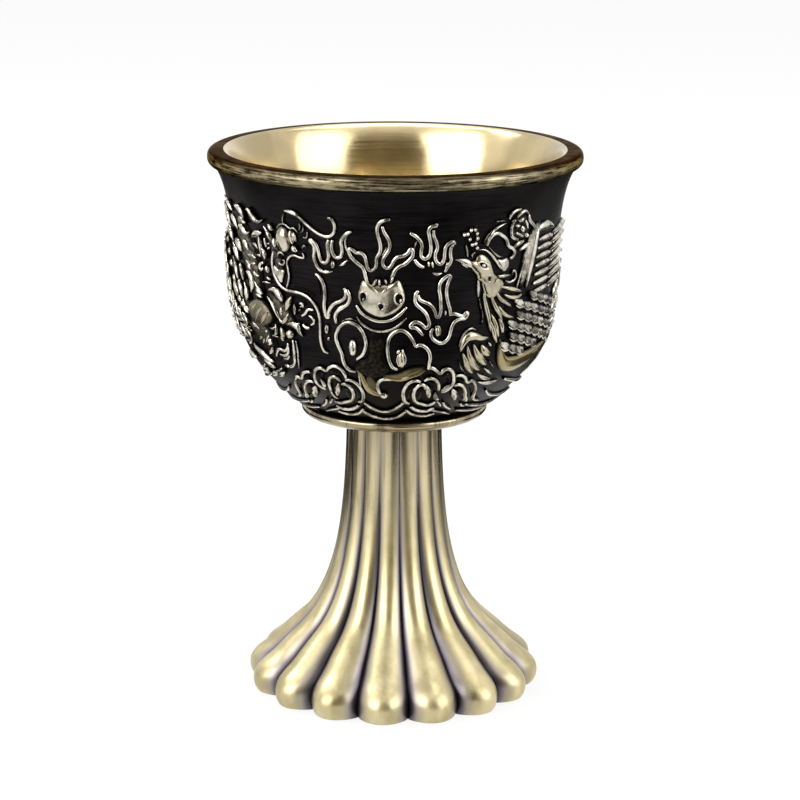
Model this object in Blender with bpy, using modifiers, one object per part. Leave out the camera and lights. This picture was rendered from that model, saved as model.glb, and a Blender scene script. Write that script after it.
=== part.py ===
"""Stemmed liquor cup: a lined, cast bowl on a fluted foot, screwed together through the stem.

Metres, +Z up. The origin is the centre of the resting plane. The bowl's front faces -Y.
"""

import math

import bmesh
import bpy
from mathutils import Matrix, Vector

# Fits
FIT_GAP = 0.0003
CUTTER_OVERRUN = 0.002

# Fluted foot
FOOT_RADIUS = 0.0180
FOOT_HEIGHT = 0.0340
FOOT_EDGE_TUCK = 0.0002
FOOT_EDGE_HEIGHT = 0.0043
FOOT_SHOULDER_RADIUS = 0.0164
FOOT_EDGE_SWELL = 0.0002
FLARE_LENGTH = 0.0069
STEM_RADIUS = 0.0058
FOOT_WALL = 0.0013
WEB_THICKNESS = 0.0022
FLUTE_COUNT = 16
FLUTE_DEPTH_FOOT = 0.0022
FLUTE_DEPTH_STEM = 0.0002
FLUTE_FADE = 0.75
FLUTE_ROUNDNESS = 0.8
SEGMENTS_PER_FLUTE = 6

# Base plate, let into the underside of the foot
PLATE_RECESS = 0.0006
PLATE_THICKNESS = 0.0008
PLATE_LEDGE = 0.0012

# Collar between the foot and the bowl
COLLAR_RADIUS = 0.0113
COLLAR_WEB = 0.0010
COLLAR_RIM_HEIGHT = 0.0014
COLLAR_RIM_WIDTH = 0.0004
COLLAR_FOOT_RADIUS = 0.0094

# Bowl shell
SEAT_RADIUS = 0.0100
SEAT_ANGLE = math.radians(27)
SEAT_PULL = 0.0053
BELLY_RADIUS = 0.0191
BELLY_RISE = 0.0119
BELLY_PULL = 0.0056
BELLY_LEAN = math.radians(6.3)
RIM_RADIUS = 0.0217
RIM_RISE = 0.0294
RIM_FLARE = math.radians(34.4)
RIM_PULL = 0.0042
SHELL_WALL = 0.0013
SHELL_FLOOR = 0.0012
BOSS_RADIUS = 0.0034
BOSS_LENGTH = 0.0041

# Liner and the bond pad under it
LIP_RADIUS = 0.0225
LIP_THICKNESS = 0.0015
LIP_BEND = 0.0009
LINER_WALL = 0.0007
FLOOR_PULL = 0.0120
BOND_RADIUS = 0.0045
BOND_THICKNESS = 0.0005

# Stem screw and its washers
SCREW_RADIUS = 0.0020
SCREW_LENGTH = 0.0080
SCREW_HEAD_RADIUS = 0.0035
SCREW_HEAD_HEIGHT = 0.0026
SCREW_SLOT_WIDTH = 0.0010
SCREW_SLOT_DEPTH = 0.0011
WASHER_RADIUS = 0.0040
WASHER_THICKNESS = 0.0005
SPRING_WASHER_RADIUS = 0.0038
SPRING_WASHER_THICKNESS = 0.0009
SPRING_WASHER_SPLIT = 0.0008

# Cast relief on the bowl, drawn in millimetres on a sheet wrapped round it: places along to the right of the front
# and up from the table, and each form's width. The sheet follows the bowl from its seat to its rim.
SHEET_RADIUS = 19.5
SHEET_SEAT = 35.6
SHEET_RIM = 65.0
RELIEF_RISE = 0.0009
RELIEF_SINK = 0.0004
FRONT_FORMS = {
    "pearl": (((-2.6, 52.5), (0.0, 52.3), (2.7, 52.6)), 4.4),
    "pearl_flame": (((-0.3, 55.4), (0.2, 58.0), (0.2, 61.6)), 1.6),
    "pearl_crescent": (((-2.7, 50.2), (0.0, 49.2), (2.7, 50.2)), 1.0),
    "cloud_stem": (((-0.6, 43.4), (-0.6, 46.0), (-0.6, 48.4)), 2.4),
    "cloud_foot": (((-4.3, 44.5), (0.6, 43.4), (5.4, 44.1)), 1.7),
    "cloud_tail": (((-2.2, 43.6), (-2.0, 41.8), (-0.1, 40.3)), 1.8),
    "cloud_left": (((-5.0, 46.2), (-3.8, 49.4), (-2.1, 48.2)), 1.0),
    "cloud_right": (((0.9, 47.2), (2.6, 48.6), (5.5, 45.8)), 1.0),
    "left_flame": (((-7.8, 57.8), (-6.4, 55.7), (-3.7, 58.2)), 1.0),
    "right_flame": (((3.8, 59.4), (5.6, 56.0), (7.9, 58.2)), 1.0),
    "left_flicker": (((-6.9, 54.0), (-6.3, 50.4), (-4.1, 52.6)), 1.0),
    "right_flicker": (((4.1, 52.6), (6.2, 50.8), (7.4, 54.4)), 1.0),
    "right_curl": (((4.0, 49.4), (6.6, 47.8), (8.6, 49.8)), 1.2),
}
DRAGON_FORMS = {
    "muzzle": (((-11.9, 56.9), (-11.9, 58.5), (-11.9, 60.2)), 2.0),
    "upper_feeler": (((-11.4, 62.0), (-8.6, 60.7), (-5.6, 59.6)), 0.9),
    "jaw": (((-13.6, 56.8), (-13.6, 54.0), (-11.4, 52.6)), 1.3),
    "lower_feeler": (((-10.6, 52.4), (-7.9, 50.9), (-7.4, 47.4)), 0.8),
    "horn": (((-18.0, 61.2), (-16.4, 60.4), (-14.7, 60.6)), 1.0),
    "ear": (((-17.2, 58.4), (-16.0, 58.2), (-15.7, 56.2)), 1.2),
    "upper_mane": (((-22.4, 60.2), (-20.6, 58.4), (-19.6, 55.6)), 1.8),
    "lower_mane": (((-19.4, 53.8), (-18.0, 52.8), (-18.3, 51.2)), 1.2),
    "back_mane": (((-23.2, 55.4), (-22.0, 52.6), (-20.8, 50.0)), 1.8),
    "cheek": (((-18.7, 49.4), (-16.4, 49.2), (-13.9, 49.0)), 3.0),
    "claw": (((-12.6, 51.2), (-11.8, 48.8), (-9.8, 47.5)), 1.8),
    "leg": (((-11.2, 46.6), (-12.0, 44.4), (-14.2, 43.8)), 1.7),
    "haunch": (((-20.0, 44.8), (-18.0, 43.5), (-16.0, 42.8)), 1.8),
    "coil": (
        ((-19.0, 47.0), (-23.0, 48.6), (-27.0, 53.0), (-31.5, 55.0), (-36.0, 51.5), (-40.0, 48.0), (-44.5, 50.5),
         (-48.5, 54.5), (-53.0, 55.0), (-56.5, 51.5)),
        4.2,
    ),
}
PHOENIX_FORMS = {
    "head": (((8.5, 56.7), (11.0, 55.9), (13.7, 54.2)), 2.2),
    "crest": (((12.2, 58.0), (13.7, 59.3), (15.7, 57.4)), 1.1),
    "plume": (((15.5, 60.9), (17.2, 60.2), (18.6, 58.8)), 1.8),
    "hackle": (((12.6, 52.8), (13.8, 50.4), (14.8, 47.4)), 2.0),
    "shoulder": (((14.4, 53.2), (16.4, 52.5), (18.2, 51.8)), 1.2),
    "breast": (((15.6, 49.8), (18.8, 48.2), (22.6, 46.4)), 4.6),
    "belly": (((14.7, 46.4), (16.4, 44.0), (20.5, 42.9), (28.0, 43.2), (32.0, 44.6)), 1.7),
    "folded_wing": (((9.7, 46.7), (11.0, 45.3), (13.5, 43.7)), 3.0),
    "wing_bone": (((18.9, 52.2), (19.8, 56.0), (20.7, 59.5)), 1.2),
    "quill_1": (((21.0, 58.8), (24.0, 59.0), (28.6, 58.2)), 1.4),
    "quill_2": (((20.9, 56.4), (24.8, 56.5), (28.8, 56.2)), 1.6),
    "quill_3": (((20.6, 54.2), (24.6, 54.3), (28.6, 54.0)), 1.6),
    "quill_4": (((20.3, 52.2), (24.3, 52.2), (28.2, 51.8)), 1.6),
    "tail_1": (((25.5, 45.8), (29.0, 47.2), (33.0, 45.6), (38.0, 46.8), (43.0, 45.8), (49.2, 47.0)), 1.8),
    "tail_2": (((25.5, 48.6), (29.0, 50.6), (33.0, 49.2), (38.0, 50.2), (43.0, 49.2), (49.2, 51.0)), 1.8),
    "tail_3": (((25.5, 51.2), (30.5, 53.6), (33.0, 53.0), (38.0, 53.6), (43.0, 52.6), (49.2, 55.4)), 1.6),
}
ROSETTE_FORMS = {
    "petals": (((2.9, 40.9), (5.2, 40.5), (7.6, 40.6)), 3.0),
    "crown": (((5.7, 43.7), (7.4, 43.0), (9.2, 42.0)), 1.3),
    "leaf": (((9.6, 42.2), (11.5, 41.0), (13.5, 39.4)), 2.0),
    "wave": (((4.2, 38.3), (6.2, 37.8), (8.4, 38.1)), 0.8),
}
BACK_ROSETTES = (34.0, 40.8, 47.6, 54.4, 61.26, -34.0, -40.8, -47.6, -54.4)
BACK_CLOUDS = ((-26.5, 46.5), (-31.0, 47.5), (-35.0, 58.0), (-44.0, 58.5), (-47.0, 46.4), (-52.0, 48.8), (-56.0, 58.4))

# Facets
RELIEF_SIDES = 8
RELIEF_RINGS = 3
TURN_STEPS = 48
SMALL_TURN_STEPS = 24
CURVE_STEPS = 7
FLARE_STEPS = 10
EDGE_STEPS = 4
ARC_STEPS = 6
SHARP_ANGLE = math.radians(35)

# Heights that follow from the sizes above
COLLAR_Z = FOOT_HEIGHT + FIT_GAP
SEAT_Z = COLLAR_Z + COLLAR_WEB + FIT_GAP
BELLY_Z = SEAT_Z + BELLY_RISE
RIM_Z = SEAT_Z + RIM_RISE
BOSS_BOTTOM_Z = SEAT_Z - BOSS_LENGTH
SOCKET_FLOOR_Z = BOSS_BOTTOM_Z - FIT_GAP
WEB_BOTTOM_Z = SOCKET_FLOOR_Z - WEB_THICKNESS
SHELL_FLOOR_Z = SEAT_Z + SHELL_FLOOR
BOND_Z = SHELL_FLOOR_Z + FIT_GAP
LINER_BOTTOM_Z = BOND_Z + BOND_THICKNESS + FIT_GAP
LIP_BOTTOM_Z = RIM_Z + FIT_GAP
PLATE_LEDGE_Z = PLATE_RECESS + PLATE_THICKNESS + FIT_GAP
WASHER_Z = WEB_BOTTOM_Z - FIT_GAP - WASHER_THICKNESS
SPRING_WASHER_Z = WASHER_Z - FIT_GAP - SPRING_WASHER_THICKNESS
SCREW_HEAD_TOP_Z = SPRING_WASHER_Z - FIT_GAP

# Radii that follow from the sizes above
RECESS_RADIUS = FOOT_RADIUS - FOOT_EDGE_TUCK - FLUTE_DEPTH_FOOT - FOOT_WALL
SCREW_HOLE_RADIUS = SCREW_RADIUS + FIT_GAP
BOSS_HOLE_RADIUS = BOSS_RADIUS + FIT_GAP
STEM_BORE_RADIUS = max(WASHER_RADIUS, SPRING_WASHER_RADIUS, SCREW_HEAD_RADIUS) + FIT_GAP


def clear_scene():
    """Removes every object, so that the script can be run again in the same file."""
    for old in list(bpy.data.objects):
        bpy.data.objects.remove(old, do_unlink=True)


def new_collection(name):
    """An empty collection of that name, linked to the scene."""
    found = bpy.data.collections.get(name) or bpy.data.collections.new(name)
    if found.name not in bpy.context.scene.collection.children:
        bpy.context.scene.collection.children.link(found)
    return found


def metal(name, colour, roughness):
    """A metallic Principled material."""
    made = bpy.data.materials.get(name) or bpy.data.materials.new(name)
    made.use_nodes = True
    shader = made.node_tree.nodes["Principled BSDF"]
    shader.inputs["Base Color"].default_value = (*colour, 1.0)
    shader.inputs["Metallic"].default_value = 1.0
    shader.inputs["Roughness"].default_value = roughness
    return made


def bond_material(name, colour, roughness):
    """A plain, non-metallic material for the cured adhesive."""
    made = metal(name, colour, roughness)
    made.node_tree.nodes["Principled BSDF"].inputs["Metallic"].default_value = 0.0
    return made


def bezier(start, pull_start, pull_end, end, steps):
    """Points along a cubic curve, both ends included."""
    points = []
    for i in range(steps + 1):
        t = i / steps
        s = 1.0 - t
        points.append(
            s**3 * start + 3 * s * s * t * pull_start + 3 * s * t * t * pull_end + t**3 * end
        )
    return points


def arc(centre, radius, first, last, steps):
    """Points on a circle from the first angle to the last, both included."""
    points = []
    for i in range(steps + 1):
        angle = first + (last - first) * i / steps
        points.append(centre + radius * Vector((math.cos(angle), math.sin(angle))))
    return points


def heading(angle_from_axis):
    """A unit step in (radius, height) that leans outwards from the vertical by the angle."""
    return Vector((math.sin(angle_from_axis), math.cos(angle_from_axis)))


def inset(points, distance):
    """A curve that runs upwards, moved towards the axis, square to itself."""
    moved = []
    for i, point in enumerate(points):
        along = (points[min(i + 1, len(points) - 1)] - points[max(i - 1, 0)]).normalized()
        moved.append(point + distance * Vector((-along.y, along.x)))
    return moved


def below(points, height):
    """The stretch of a rising curve up to a height, ending exactly there."""
    kept = [point for point in points if point.y < height]
    last, following = kept[-1], points[len(kept)]
    share = (height - last.y) / (following.y - last.y)
    return kept + [last.lerp(following, share)]


def within(points, radius):
    """The stretch of a spreading curve out to a radius, ending exactly there."""
    kept = [point for point in points if point.x < radius]
    last, following = kept[-1], points[len(kept)]
    share = (radius - last.x) / (following.x - last.x)
    return kept + [last.lerp(following, share)]


def outline_mesh(name, points, closed):
    """A mesh of edges through (radius, height) points in the XZ plane."""
    made = bpy.data.meshes.new(name)
    links = [(i, i + 1) for i in range(len(points) - 1)]
    if closed:
        links.append((len(points) - 1, 0))
    made.from_pydata([(point.x, 0.0, point.y) for point in points], links, [])
    return made


def turned(name, points, collection, steps=TURN_STEPS, closed=False):
    """A body turned about the Z axis from a profile that runs down its outer side."""
    body = bpy.data.objects.new(name, outline_mesh(name, points, closed))
    collection.objects.link(body)
    screw = body.modifiers.new("turn", "SCREW")
    screw.axis = "Z"
    screw.angle = 2 * math.pi
    screw.steps = steps
    screw.render_steps = steps
    screw.use_merge_vertices = True
    screw.merge_threshold = 0.00001
    screw.use_smooth_shade = True
    return body


def washer(name, hole_radius, radius, bottom, thickness, collection):
    """A flat ring round the Z axis."""
    top = bottom + thickness
    corners = ((hole_radius, top), (radius, top), (radius, bottom), (hole_radius, bottom))
    return turned(name, [Vector(c) for c in corners], collection, SMALL_TURN_STEPS, closed=True)


def box_cutter(name, size, centre, collection):
    """A hidden box that cuts other pieces."""
    made = bmesh.new()
    bmesh.ops.create_cube(made, size=1.0)
    mesh = bpy.data.meshes.new(name)
    made.to_mesh(mesh)
    made.free()
    cutter = bpy.data.objects.new(name, mesh)
    cutter.scale = size
    cutter.location = centre
    collection.objects.link(cutter)
    return hide_cutter(cutter)


def hide_cutter(cutter):
    """Marks a helper that isn't a piece of the cup."""
    cutter.hide_render = True
    cutter.display_type = "WIRE"
    return cutter


def cut(body, cutter):
    """Takes the cutter's space out of a body."""
    boolean = body.modifiers.new("cut_" + cutter.name, "BOOLEAN")
    boolean.operation = "DIFFERENCE"
    boolean.solver = "EXACT"
    boolean.object = cutter


def join(body, helpers):
    """Adds the space of a collection's helpers to a body."""
    boolean = body.modifiers.new("join_" + helpers.name, "BOOLEAN")
    boolean.operation = "UNION"
    boolean.solver = "EXACT"
    boolean.operand_type = "COLLECTION"
    boolean.collection = helpers


def fit(body, material, root):
    """Gives a body its one material and hangs it on the cup's root."""
    body.data.materials.clear()
    body.data.materials.append(material)
    body.parent = root


def ground_lower():
    """The bowl's outer curve from its seat to its belly."""
    seat = Vector((SEAT_RADIUS, SEAT_Z))
    belly = Vector((BELLY_RADIUS, BELLY_Z))
    leave = seat + SEAT_PULL * Vector((math.cos(SEAT_ANGLE), math.sin(SEAT_ANGLE)))
    return bezier(seat, leave, belly - BELLY_PULL * heading(BELLY_LEAN), belly, CURVE_STEPS)


def ground_upper():
    """The bowl's outer curve from its belly up the side and out to the rim."""
    belly = Vector((BELLY_RADIUS, BELLY_Z))
    rim = Vector((RIM_RADIUS, RIM_Z))
    leave = belly + BELLY_PULL * heading(BELLY_LEAN)
    return bezier(belly, leave, rim - RIM_PULL * heading(RIM_FLARE), rim, CURVE_STEPS)


def on_bowl(place, lift):
    """A place on the relief's sheet, wrapped round the bowl and lifted square to the ground."""
    height = SEAT_Z + RIM_RISE * (place.y - SHEET_SEAT) / (SHEET_RIM - SHEET_SEAT)
    ground = ground_lower()[:-1] + ground_upper()
    above = next(i for i, point in enumerate(ground) if point.y >= height)
    low, high = ground[above - 1], ground[above]
    spot = low.lerp(high, (height - low.y) / (high.y - low.y))
    spot += lift * Vector((high.y - low.y, low.x - high.x)).normalized()
    turn = place.x / SHEET_RADIUS
    return Vector((spot.x * math.sin(turn), -spot.x * math.cos(turn), spot.y))


def along_spine(spine, share):
    """The place at a share of a spine, from 0 at its start to 1 at its end."""
    spot = min(max(share, 0.0), 1.0) * (len(spine) - 1)
    first = min(int(spot), len(spine) - 2)
    return Vector(spine[first]).lerp(Vector(spine[first + 1]), spot - first)


def raised_form(name, spine, width, collection):
    """A low faceted boss, bent along its spine and let into the bowl's wall."""
    made = bmesh.new()
    on_side = Matrix.Rotation(math.pi / 2, 4, "Y")
    rings = RELIEF_RINGS * len(spine) - 3
    bmesh.ops.create_uvsphere(made, u_segments=RELIEF_SIDES, v_segments=rings, radius=1.0, matrix=on_side)
    for vert in made.verts:
        share = (vert.co.x + 1.0) / 2
        step = along_spine(spine, share + 0.12) - along_spine(spine, share - 0.12)
        side = Vector((-step.y, step.x)).normalized()
        lift = RELIEF_RISE * vert.co.z if vert.co.z > 0 else RELIEF_SINK * vert.co.z
        vert.co = on_bowl(along_spine(spine, share) + 0.5 * width * vert.co.y * side, lift)
    mesh = bpy.data.meshes.new(name)
    made.to_mesh(mesh)
    made.free()
    form = bpy.data.objects.new(name, mesh)
    collection.objects.link(form)
    return hide_cutter(form)


def make_relief(collection):
    """The main forms of the relief: dragon, phoenix, pearl, cloud, flames, rosettes and scrolls."""
    for forms in (FRONT_FORMS, DRAGON_FORMS, PHOENIX_FORMS):
        for name, (spine, width) in forms.items():
            raised_form("relief_" + name, spine, width, collection)
    for side, sign in (("right", 1.0), ("left", -1.0)):
        for name, (spine, width) in ROSETTE_FORMS.items():
            mirrored = tuple((sign * along, height) for along, height in spine)
            raised_form("relief_" + side + "_" + name, mirrored, width, collection)
    for number, along in enumerate(BACK_ROSETTES):
        spine = ((along - 2.9, 41.2), (along, 41.4), (along + 2.9, 41.2))
        raised_form("relief_back_rosette_%d" % number, spine, 3.4, collection)
    for number, (along, height) in enumerate(BACK_CLOUDS):
        spine = ((along - 1.8, height), (along, height + 0.2), (along + 2.6, height + 0.3))
        raised_form("relief_back_cloud_%d" % number, spine, 1.6, collection)
    return collection


def lining_curve(depth, floor_height):
    """A curve inside the bowl's wall: from the axis at the floor up to the flared rim."""
    upper = inset(ground_upper(), depth)
    floor = Vector((0.0, floor_height))
    leave = Vector((FLOOR_PULL - depth, floor_height))
    arrive = upper[0] - BELLY_PULL * heading(BELLY_LEAN)
    return bezier(floor, leave, arrive, upper[0], CURVE_STEPS)[:-1] + upper


def foot_crest(height):
    """The radius over the flute crests on the flare, above the rounded edge."""
    span = math.exp(-(FOOT_HEIGHT - FOOT_EDGE_HEIGHT) / FLARE_LENGTH)
    share = math.exp(-(height - FOOT_EDGE_HEIGHT) / FLARE_LENGTH)
    return STEM_RADIUS + (FOOT_SHOULDER_RADIUS - STEM_RADIUS) * (share - span) / (1.0 - span)


def flute_depth(radius):
    """How deep the valleys lie where the crests have that radius."""
    share = max(0.0, radius - STEM_RADIUS) / (FOOT_RADIUS - STEM_RADIUS)
    return FLUTE_DEPTH_STEM + (FLUTE_DEPTH_FOOT - FLUTE_DEPTH_STEM) * share**FLUTE_FADE


def fluted_radius(radius, angle):
    """The radius at an angle round the foot, with a crest at the front."""
    wave = abs(math.cos(FLUTE_COUNT / 2 * (angle + math.pi / 2)))
    return radius - flute_depth(radius) * (1.0 - wave**FLUTE_ROUNDNESS)


def foot_profile():
    """The foot's crest line, from the axis at its top down to the axis at its underside."""
    flare_length = FOOT_HEIGHT - FOOT_EDGE_HEIGHT
    flare = []
    for i in range(FLARE_STEPS + 1):
        height = FOOT_HEIGHT - flare_length * math.sin(math.pi / 2 * i / FLARE_STEPS)
        flare.append(Vector((foot_crest(height), height)))
    foot_edge = Vector((FOOT_RADIUS - FOOT_EDGE_TUCK, 0.0))
    slope = (flare[-1] - flare[-2]).normalized()
    swell = Vector((FOOT_RADIUS + FOOT_EDGE_SWELL, FOOT_EDGE_HEIGHT / 4))
    reach = (FOOT_RADIUS - FOOT_SHOULDER_RADIUS) / slope.x
    edge = bezier(flare[-1], flare[-1] + reach * slope, swell, foot_edge, EDGE_STEPS)
    return [Vector((0.0, FOOT_HEIGHT))] + flare + edge[1:] + [Vector((0.0, 0.0))]


def make_fluted_foot(collection):
    """The cast foot, spun from its crest line and pressed in between the crests."""
    made = bmesh.new()
    rings = [made.verts.new((point.x, 0.0, point.y)) for point in foot_profile()]
    edges = [made.edges.new(pair) for pair in zip(rings, rings[1:])]
    steps = FLUTE_COUNT * SEGMENTS_PER_FLUTE
    bmesh.ops.spin(
        made, geom=rings + edges, axis=(0, 0, 1), cent=(0, 0, 0), angle=2 * math.pi, steps=steps,
        use_merge=True,
    )
    bmesh.ops.remove_doubles(made, verts=made.verts, dist=0.00001)
    for vert in made.verts:
        radius = math.hypot(vert.co.x, vert.co.y)
        if radius > FIT_GAP:
            angle = math.atan2(vert.co.y, vert.co.x)
            share = fluted_radius(radius, angle) / radius
            vert.co.x *= share
            vert.co.y *= share
    bmesh.ops.recalc_face_normals(made, faces=made.faces)
    mesh = bpy.data.meshes.new("fluted_foot")
    made.to_mesh(mesh)
    made.free()
    mesh.shade_smooth()
    mesh.set_sharp_from_angle(angle=SHARP_ANGLE)
    foot = bpy.data.objects.new("fluted_foot", mesh)
    collection.objects.link(foot)
    return foot


def make_foot_cavity(cutters):
    """The space inside the foot: plate recess, hollow, screw hole and boss socket."""
    ledge_radius = RECESS_RADIUS - PLATE_LEDGE
    socket_top = Vector((BOSS_HOLE_RADIUS, FOOT_HEIGHT + CUTTER_OVERRUN))
    profile = [
        Vector((0.0, socket_top.y)),
        socket_top,
        Vector((BOSS_HOLE_RADIUS, SOCKET_FLOOR_Z)),
        Vector((SCREW_HOLE_RADIUS, SOCKET_FLOOR_Z)),
        Vector((SCREW_HOLE_RADIUS, WEB_BOTTOM_Z)),
    ]
    for i in range(FLARE_STEPS + 1):
        height = WEB_BOTTOM_Z + (PLATE_LEDGE_Z - WEB_BOTTOM_Z) * math.sin(math.pi / 2 * i / FLARE_STEPS)
        crest = foot_crest(max(height, FOOT_EDGE_HEIGHT))
        hollow = crest - flute_depth(crest) - FOOT_WALL
        profile.append(Vector((min(max(hollow, STEM_BORE_RADIUS), ledge_radius), height)))
    profile += [
        Vector((RECESS_RADIUS, PLATE_LEDGE_Z)),
        Vector((RECESS_RADIUS, -CUTTER_OVERRUN)),
        Vector((0.0, -CUTTER_OVERRUN)),
    ]
    return hide_cutter(turned("foot_cavity", profile, cutters))


def make_base_plate(collection):
    """The disc that closes the hollow foot."""
    radius = RECESS_RADIUS - FIT_GAP
    top = PLATE_RECESS + PLATE_THICKNESS
    corners = ((0.0, top), (radius, top), (radius, PLATE_RECESS), (0.0, PLATE_RECESS))
    return turned("base_plate", [Vector(c) for c in corners], collection)


def make_seat_collar(collection):
    """The dished ring that carries the bowl on the stem."""
    rim_top = COLLAR_Z + COLLAR_RIM_HEIGHT
    dish_top = COLLAR_Z + COLLAR_WEB
    rim_middle = COLLAR_Z + COLLAR_RIM_HEIGHT / 2
    rim_face = COLLAR_RADIUS - COLLAR_RIM_WIDTH / 2
    under = bezier(
        Vector((COLLAR_RADIUS, rim_middle)),
        Vector((COLLAR_RADIUS, COLLAR_Z + COLLAR_RIM_HEIGHT / 4)),
        Vector(((COLLAR_RADIUS + COLLAR_FOOT_RADIUS) / 2, COLLAR_Z)),
        Vector((COLLAR_FOOT_RADIUS, COLLAR_Z)),
        EDGE_STEPS,
    )
    profile = [
        Vector((BOSS_HOLE_RADIUS, dish_top)),
        Vector((SEAT_RADIUS, dish_top)),
        Vector((rim_face - COLLAR_RIM_WIDTH, rim_top)),
        Vector((rim_face, rim_top)),
        *under,
        Vector((BOSS_HOLE_RADIUS, COLLAR_Z)),
    ]
    return turned("seat_collar", profile, collection, closed=True)


def make_bowl_shell(collection):
    """The cast outer bowl, with the threaded boss under its floor."""
    lining = below(lining_curve(SHELL_WALL, SHELL_FLOOR_Z), RIM_Z)
    ground = ground_lower()[:-1] + ground_upper()
    screw_tip = SCREW_HEAD_TOP_Z + SCREW_LENGTH + FIT_GAP
    boss = [
        Vector((BOSS_RADIUS, SEAT_Z)),
        Vector((BOSS_RADIUS, BOSS_BOTTOM_Z)),
        Vector((SCREW_HOLE_RADIUS, BOSS_BOTTOM_Z)),
        Vector((SCREW_HOLE_RADIUS, screw_tip)),
        Vector((0.0, screw_tip)),
    ]
    return turned("bowl_shell", lining + ground[::-1] + boss, collection)


def make_liner_cup(collection):
    """The spun liner, with the beaded lip that covers the shell's rim."""
    outer_depth = SHELL_WALL + FIT_GAP
    inner = lining_curve(outer_depth + LINER_WALL, LINER_BOTTOM_Z + LINER_WALL)
    outer = below(lining_curve(outer_depth, LINER_BOTTOM_Z), LIP_BOTTOM_Z)
    bead_radius = LIP_THICKNESS / 2
    bead = Vector((LIP_RADIUS - bead_radius, LIP_BOTTOM_Z + bead_radius))
    bead_top = bead + Vector((0.0, bead_radius))
    flare_top = inner[-1]
    turn_out = bezier(
        flare_top,
        flare_top + LIP_BEND * heading(RIM_FLARE),
        bead_top - Vector((LIP_BEND, 0.0)),
        bead_top,
        EDGE_STEPS,
    )
    lip = arc(bead, bead_radius, math.pi / 2, -math.pi / 2, ARC_STEPS)
    return turned("liner_cup", inner[:-1] + turn_out[:-1] + lip + outer[::-1], collection)


def make_bond_pad(collection):
    """The disc of cured adhesive that holds the liner down on the shell's floor."""
    top = within(lining_curve(SHELL_WALL, BOND_Z + BOND_THICKNESS), BOND_RADIUS)
    bottom = within(lining_curve(SHELL_WALL, BOND_Z), BOND_RADIUS)
    return turned("bond_pad", top + bottom[::-1], collection, SMALL_TURN_STEPS)


def make_stem_screw(collection, cutters):
    """The slotted cheese-head screw that draws the bowl down on the foot."""
    head_bottom = SCREW_HEAD_TOP_Z - SCREW_HEAD_HEIGHT
    tip = SCREW_HEAD_TOP_Z + SCREW_LENGTH
    corners = (
        (0.0, tip),
        (SCREW_RADIUS, tip),
        (SCREW_RADIUS, SCREW_HEAD_TOP_Z),
        (SCREW_HEAD_RADIUS, SCREW_HEAD_TOP_Z),
        (SCREW_HEAD_RADIUS, head_bottom),
        (0.0, head_bottom),
    )
    screw = turned("stem_screw", [Vector(c) for c in corners], collection, SMALL_TURN_STEPS)
    slot_length = 2 * SCREW_HEAD_RADIUS + CUTTER_OVERRUN
    slot = box_cutter(
        "screw_slot",
        (slot_length, SCREW_SLOT_WIDTH, 2 * SCREW_SLOT_DEPTH),
        (0.0, 0.0, head_bottom),
        cutters,
    )
    cut(screw, slot)
    return screw


def make_spring_washer(collection, cutters):
    """The split lock washer over the screw's head."""
    ring = washer(
        "spring_washer", SCREW_HOLE_RADIUS, SPRING_WASHER_RADIUS, SPRING_WASHER_Z,
        SPRING_WASHER_THICKNESS, collection,
    )
    middle = (SCREW_HOLE_RADIUS + SPRING_WASHER_RADIUS) / 2
    split = box_cutter(
        "washer_split",
        (SPRING_WASHER_RADIUS, SPRING_WASHER_SPLIT, 2 * SPRING_WASHER_THICKNESS),
        (middle, 0.0, SPRING_WASHER_Z + SPRING_WASHER_THICKNESS / 2),
        cutters,
    )
    cut(ring, split)
    return ring


def main():
    clear_scene()
    cup = new_collection("stemmed_liquor_cup")
    cutters = new_collection("cutters")
    antique_brass = metal("antique_brass", (0.50, 0.42, 0.22), 0.34)
    bright_brass = metal("bright_brass", (0.70, 0.56, 0.30), 0.18)
    dark_bronze = metal("dark_bronze", (0.055, 0.050, 0.045), 0.42)
    steel = metal("zinc_plated_steel", (0.55, 0.56, 0.57), 0.35)
    cured_epoxy = bond_material("cured_epoxy", (0.32, 0.27, 0.18), 0.5)

    root = bpy.data.objects.new("cup_root", None)
    cup.objects.link(root)

    foot = make_fluted_foot(cup)
    cut(foot, make_foot_cavity(cutters))
    fit(foot, antique_brass, root)
    fit(make_base_plate(cup), antique_brass, root)
    fit(make_seat_collar(cup), antique_brass, root)
    shell = make_bowl_shell(cup)
    join(shell, make_relief(new_collection("relief")))
    fit(shell, dark_bronze, root)
    fit(make_liner_cup(cup), bright_brass, root)
    fit(make_bond_pad(cup), cured_epoxy, root)
    fit(make_stem_screw(cup, cutters), steel, root)
    fit(make_spring_washer(cup, cutters), steel, root)
    flat_washer = washer(
        "flat_washer", SCREW_HOLE_RADIUS, WASHER_RADIUS, WASHER_Z, WASHER_THICKNESS, cup
    )
    fit(flat_washer, steel, root)


main()
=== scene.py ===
"""The dressed stemmed liquor cup: lined bowl with cast relief on a fluted brass foot."""

import logging
import math
from collections.abc import Iterable
from dataclasses import dataclass, field, replace
from enum import Enum

import bmesh
import bpy
from mathutils import Matrix, Vector


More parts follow.
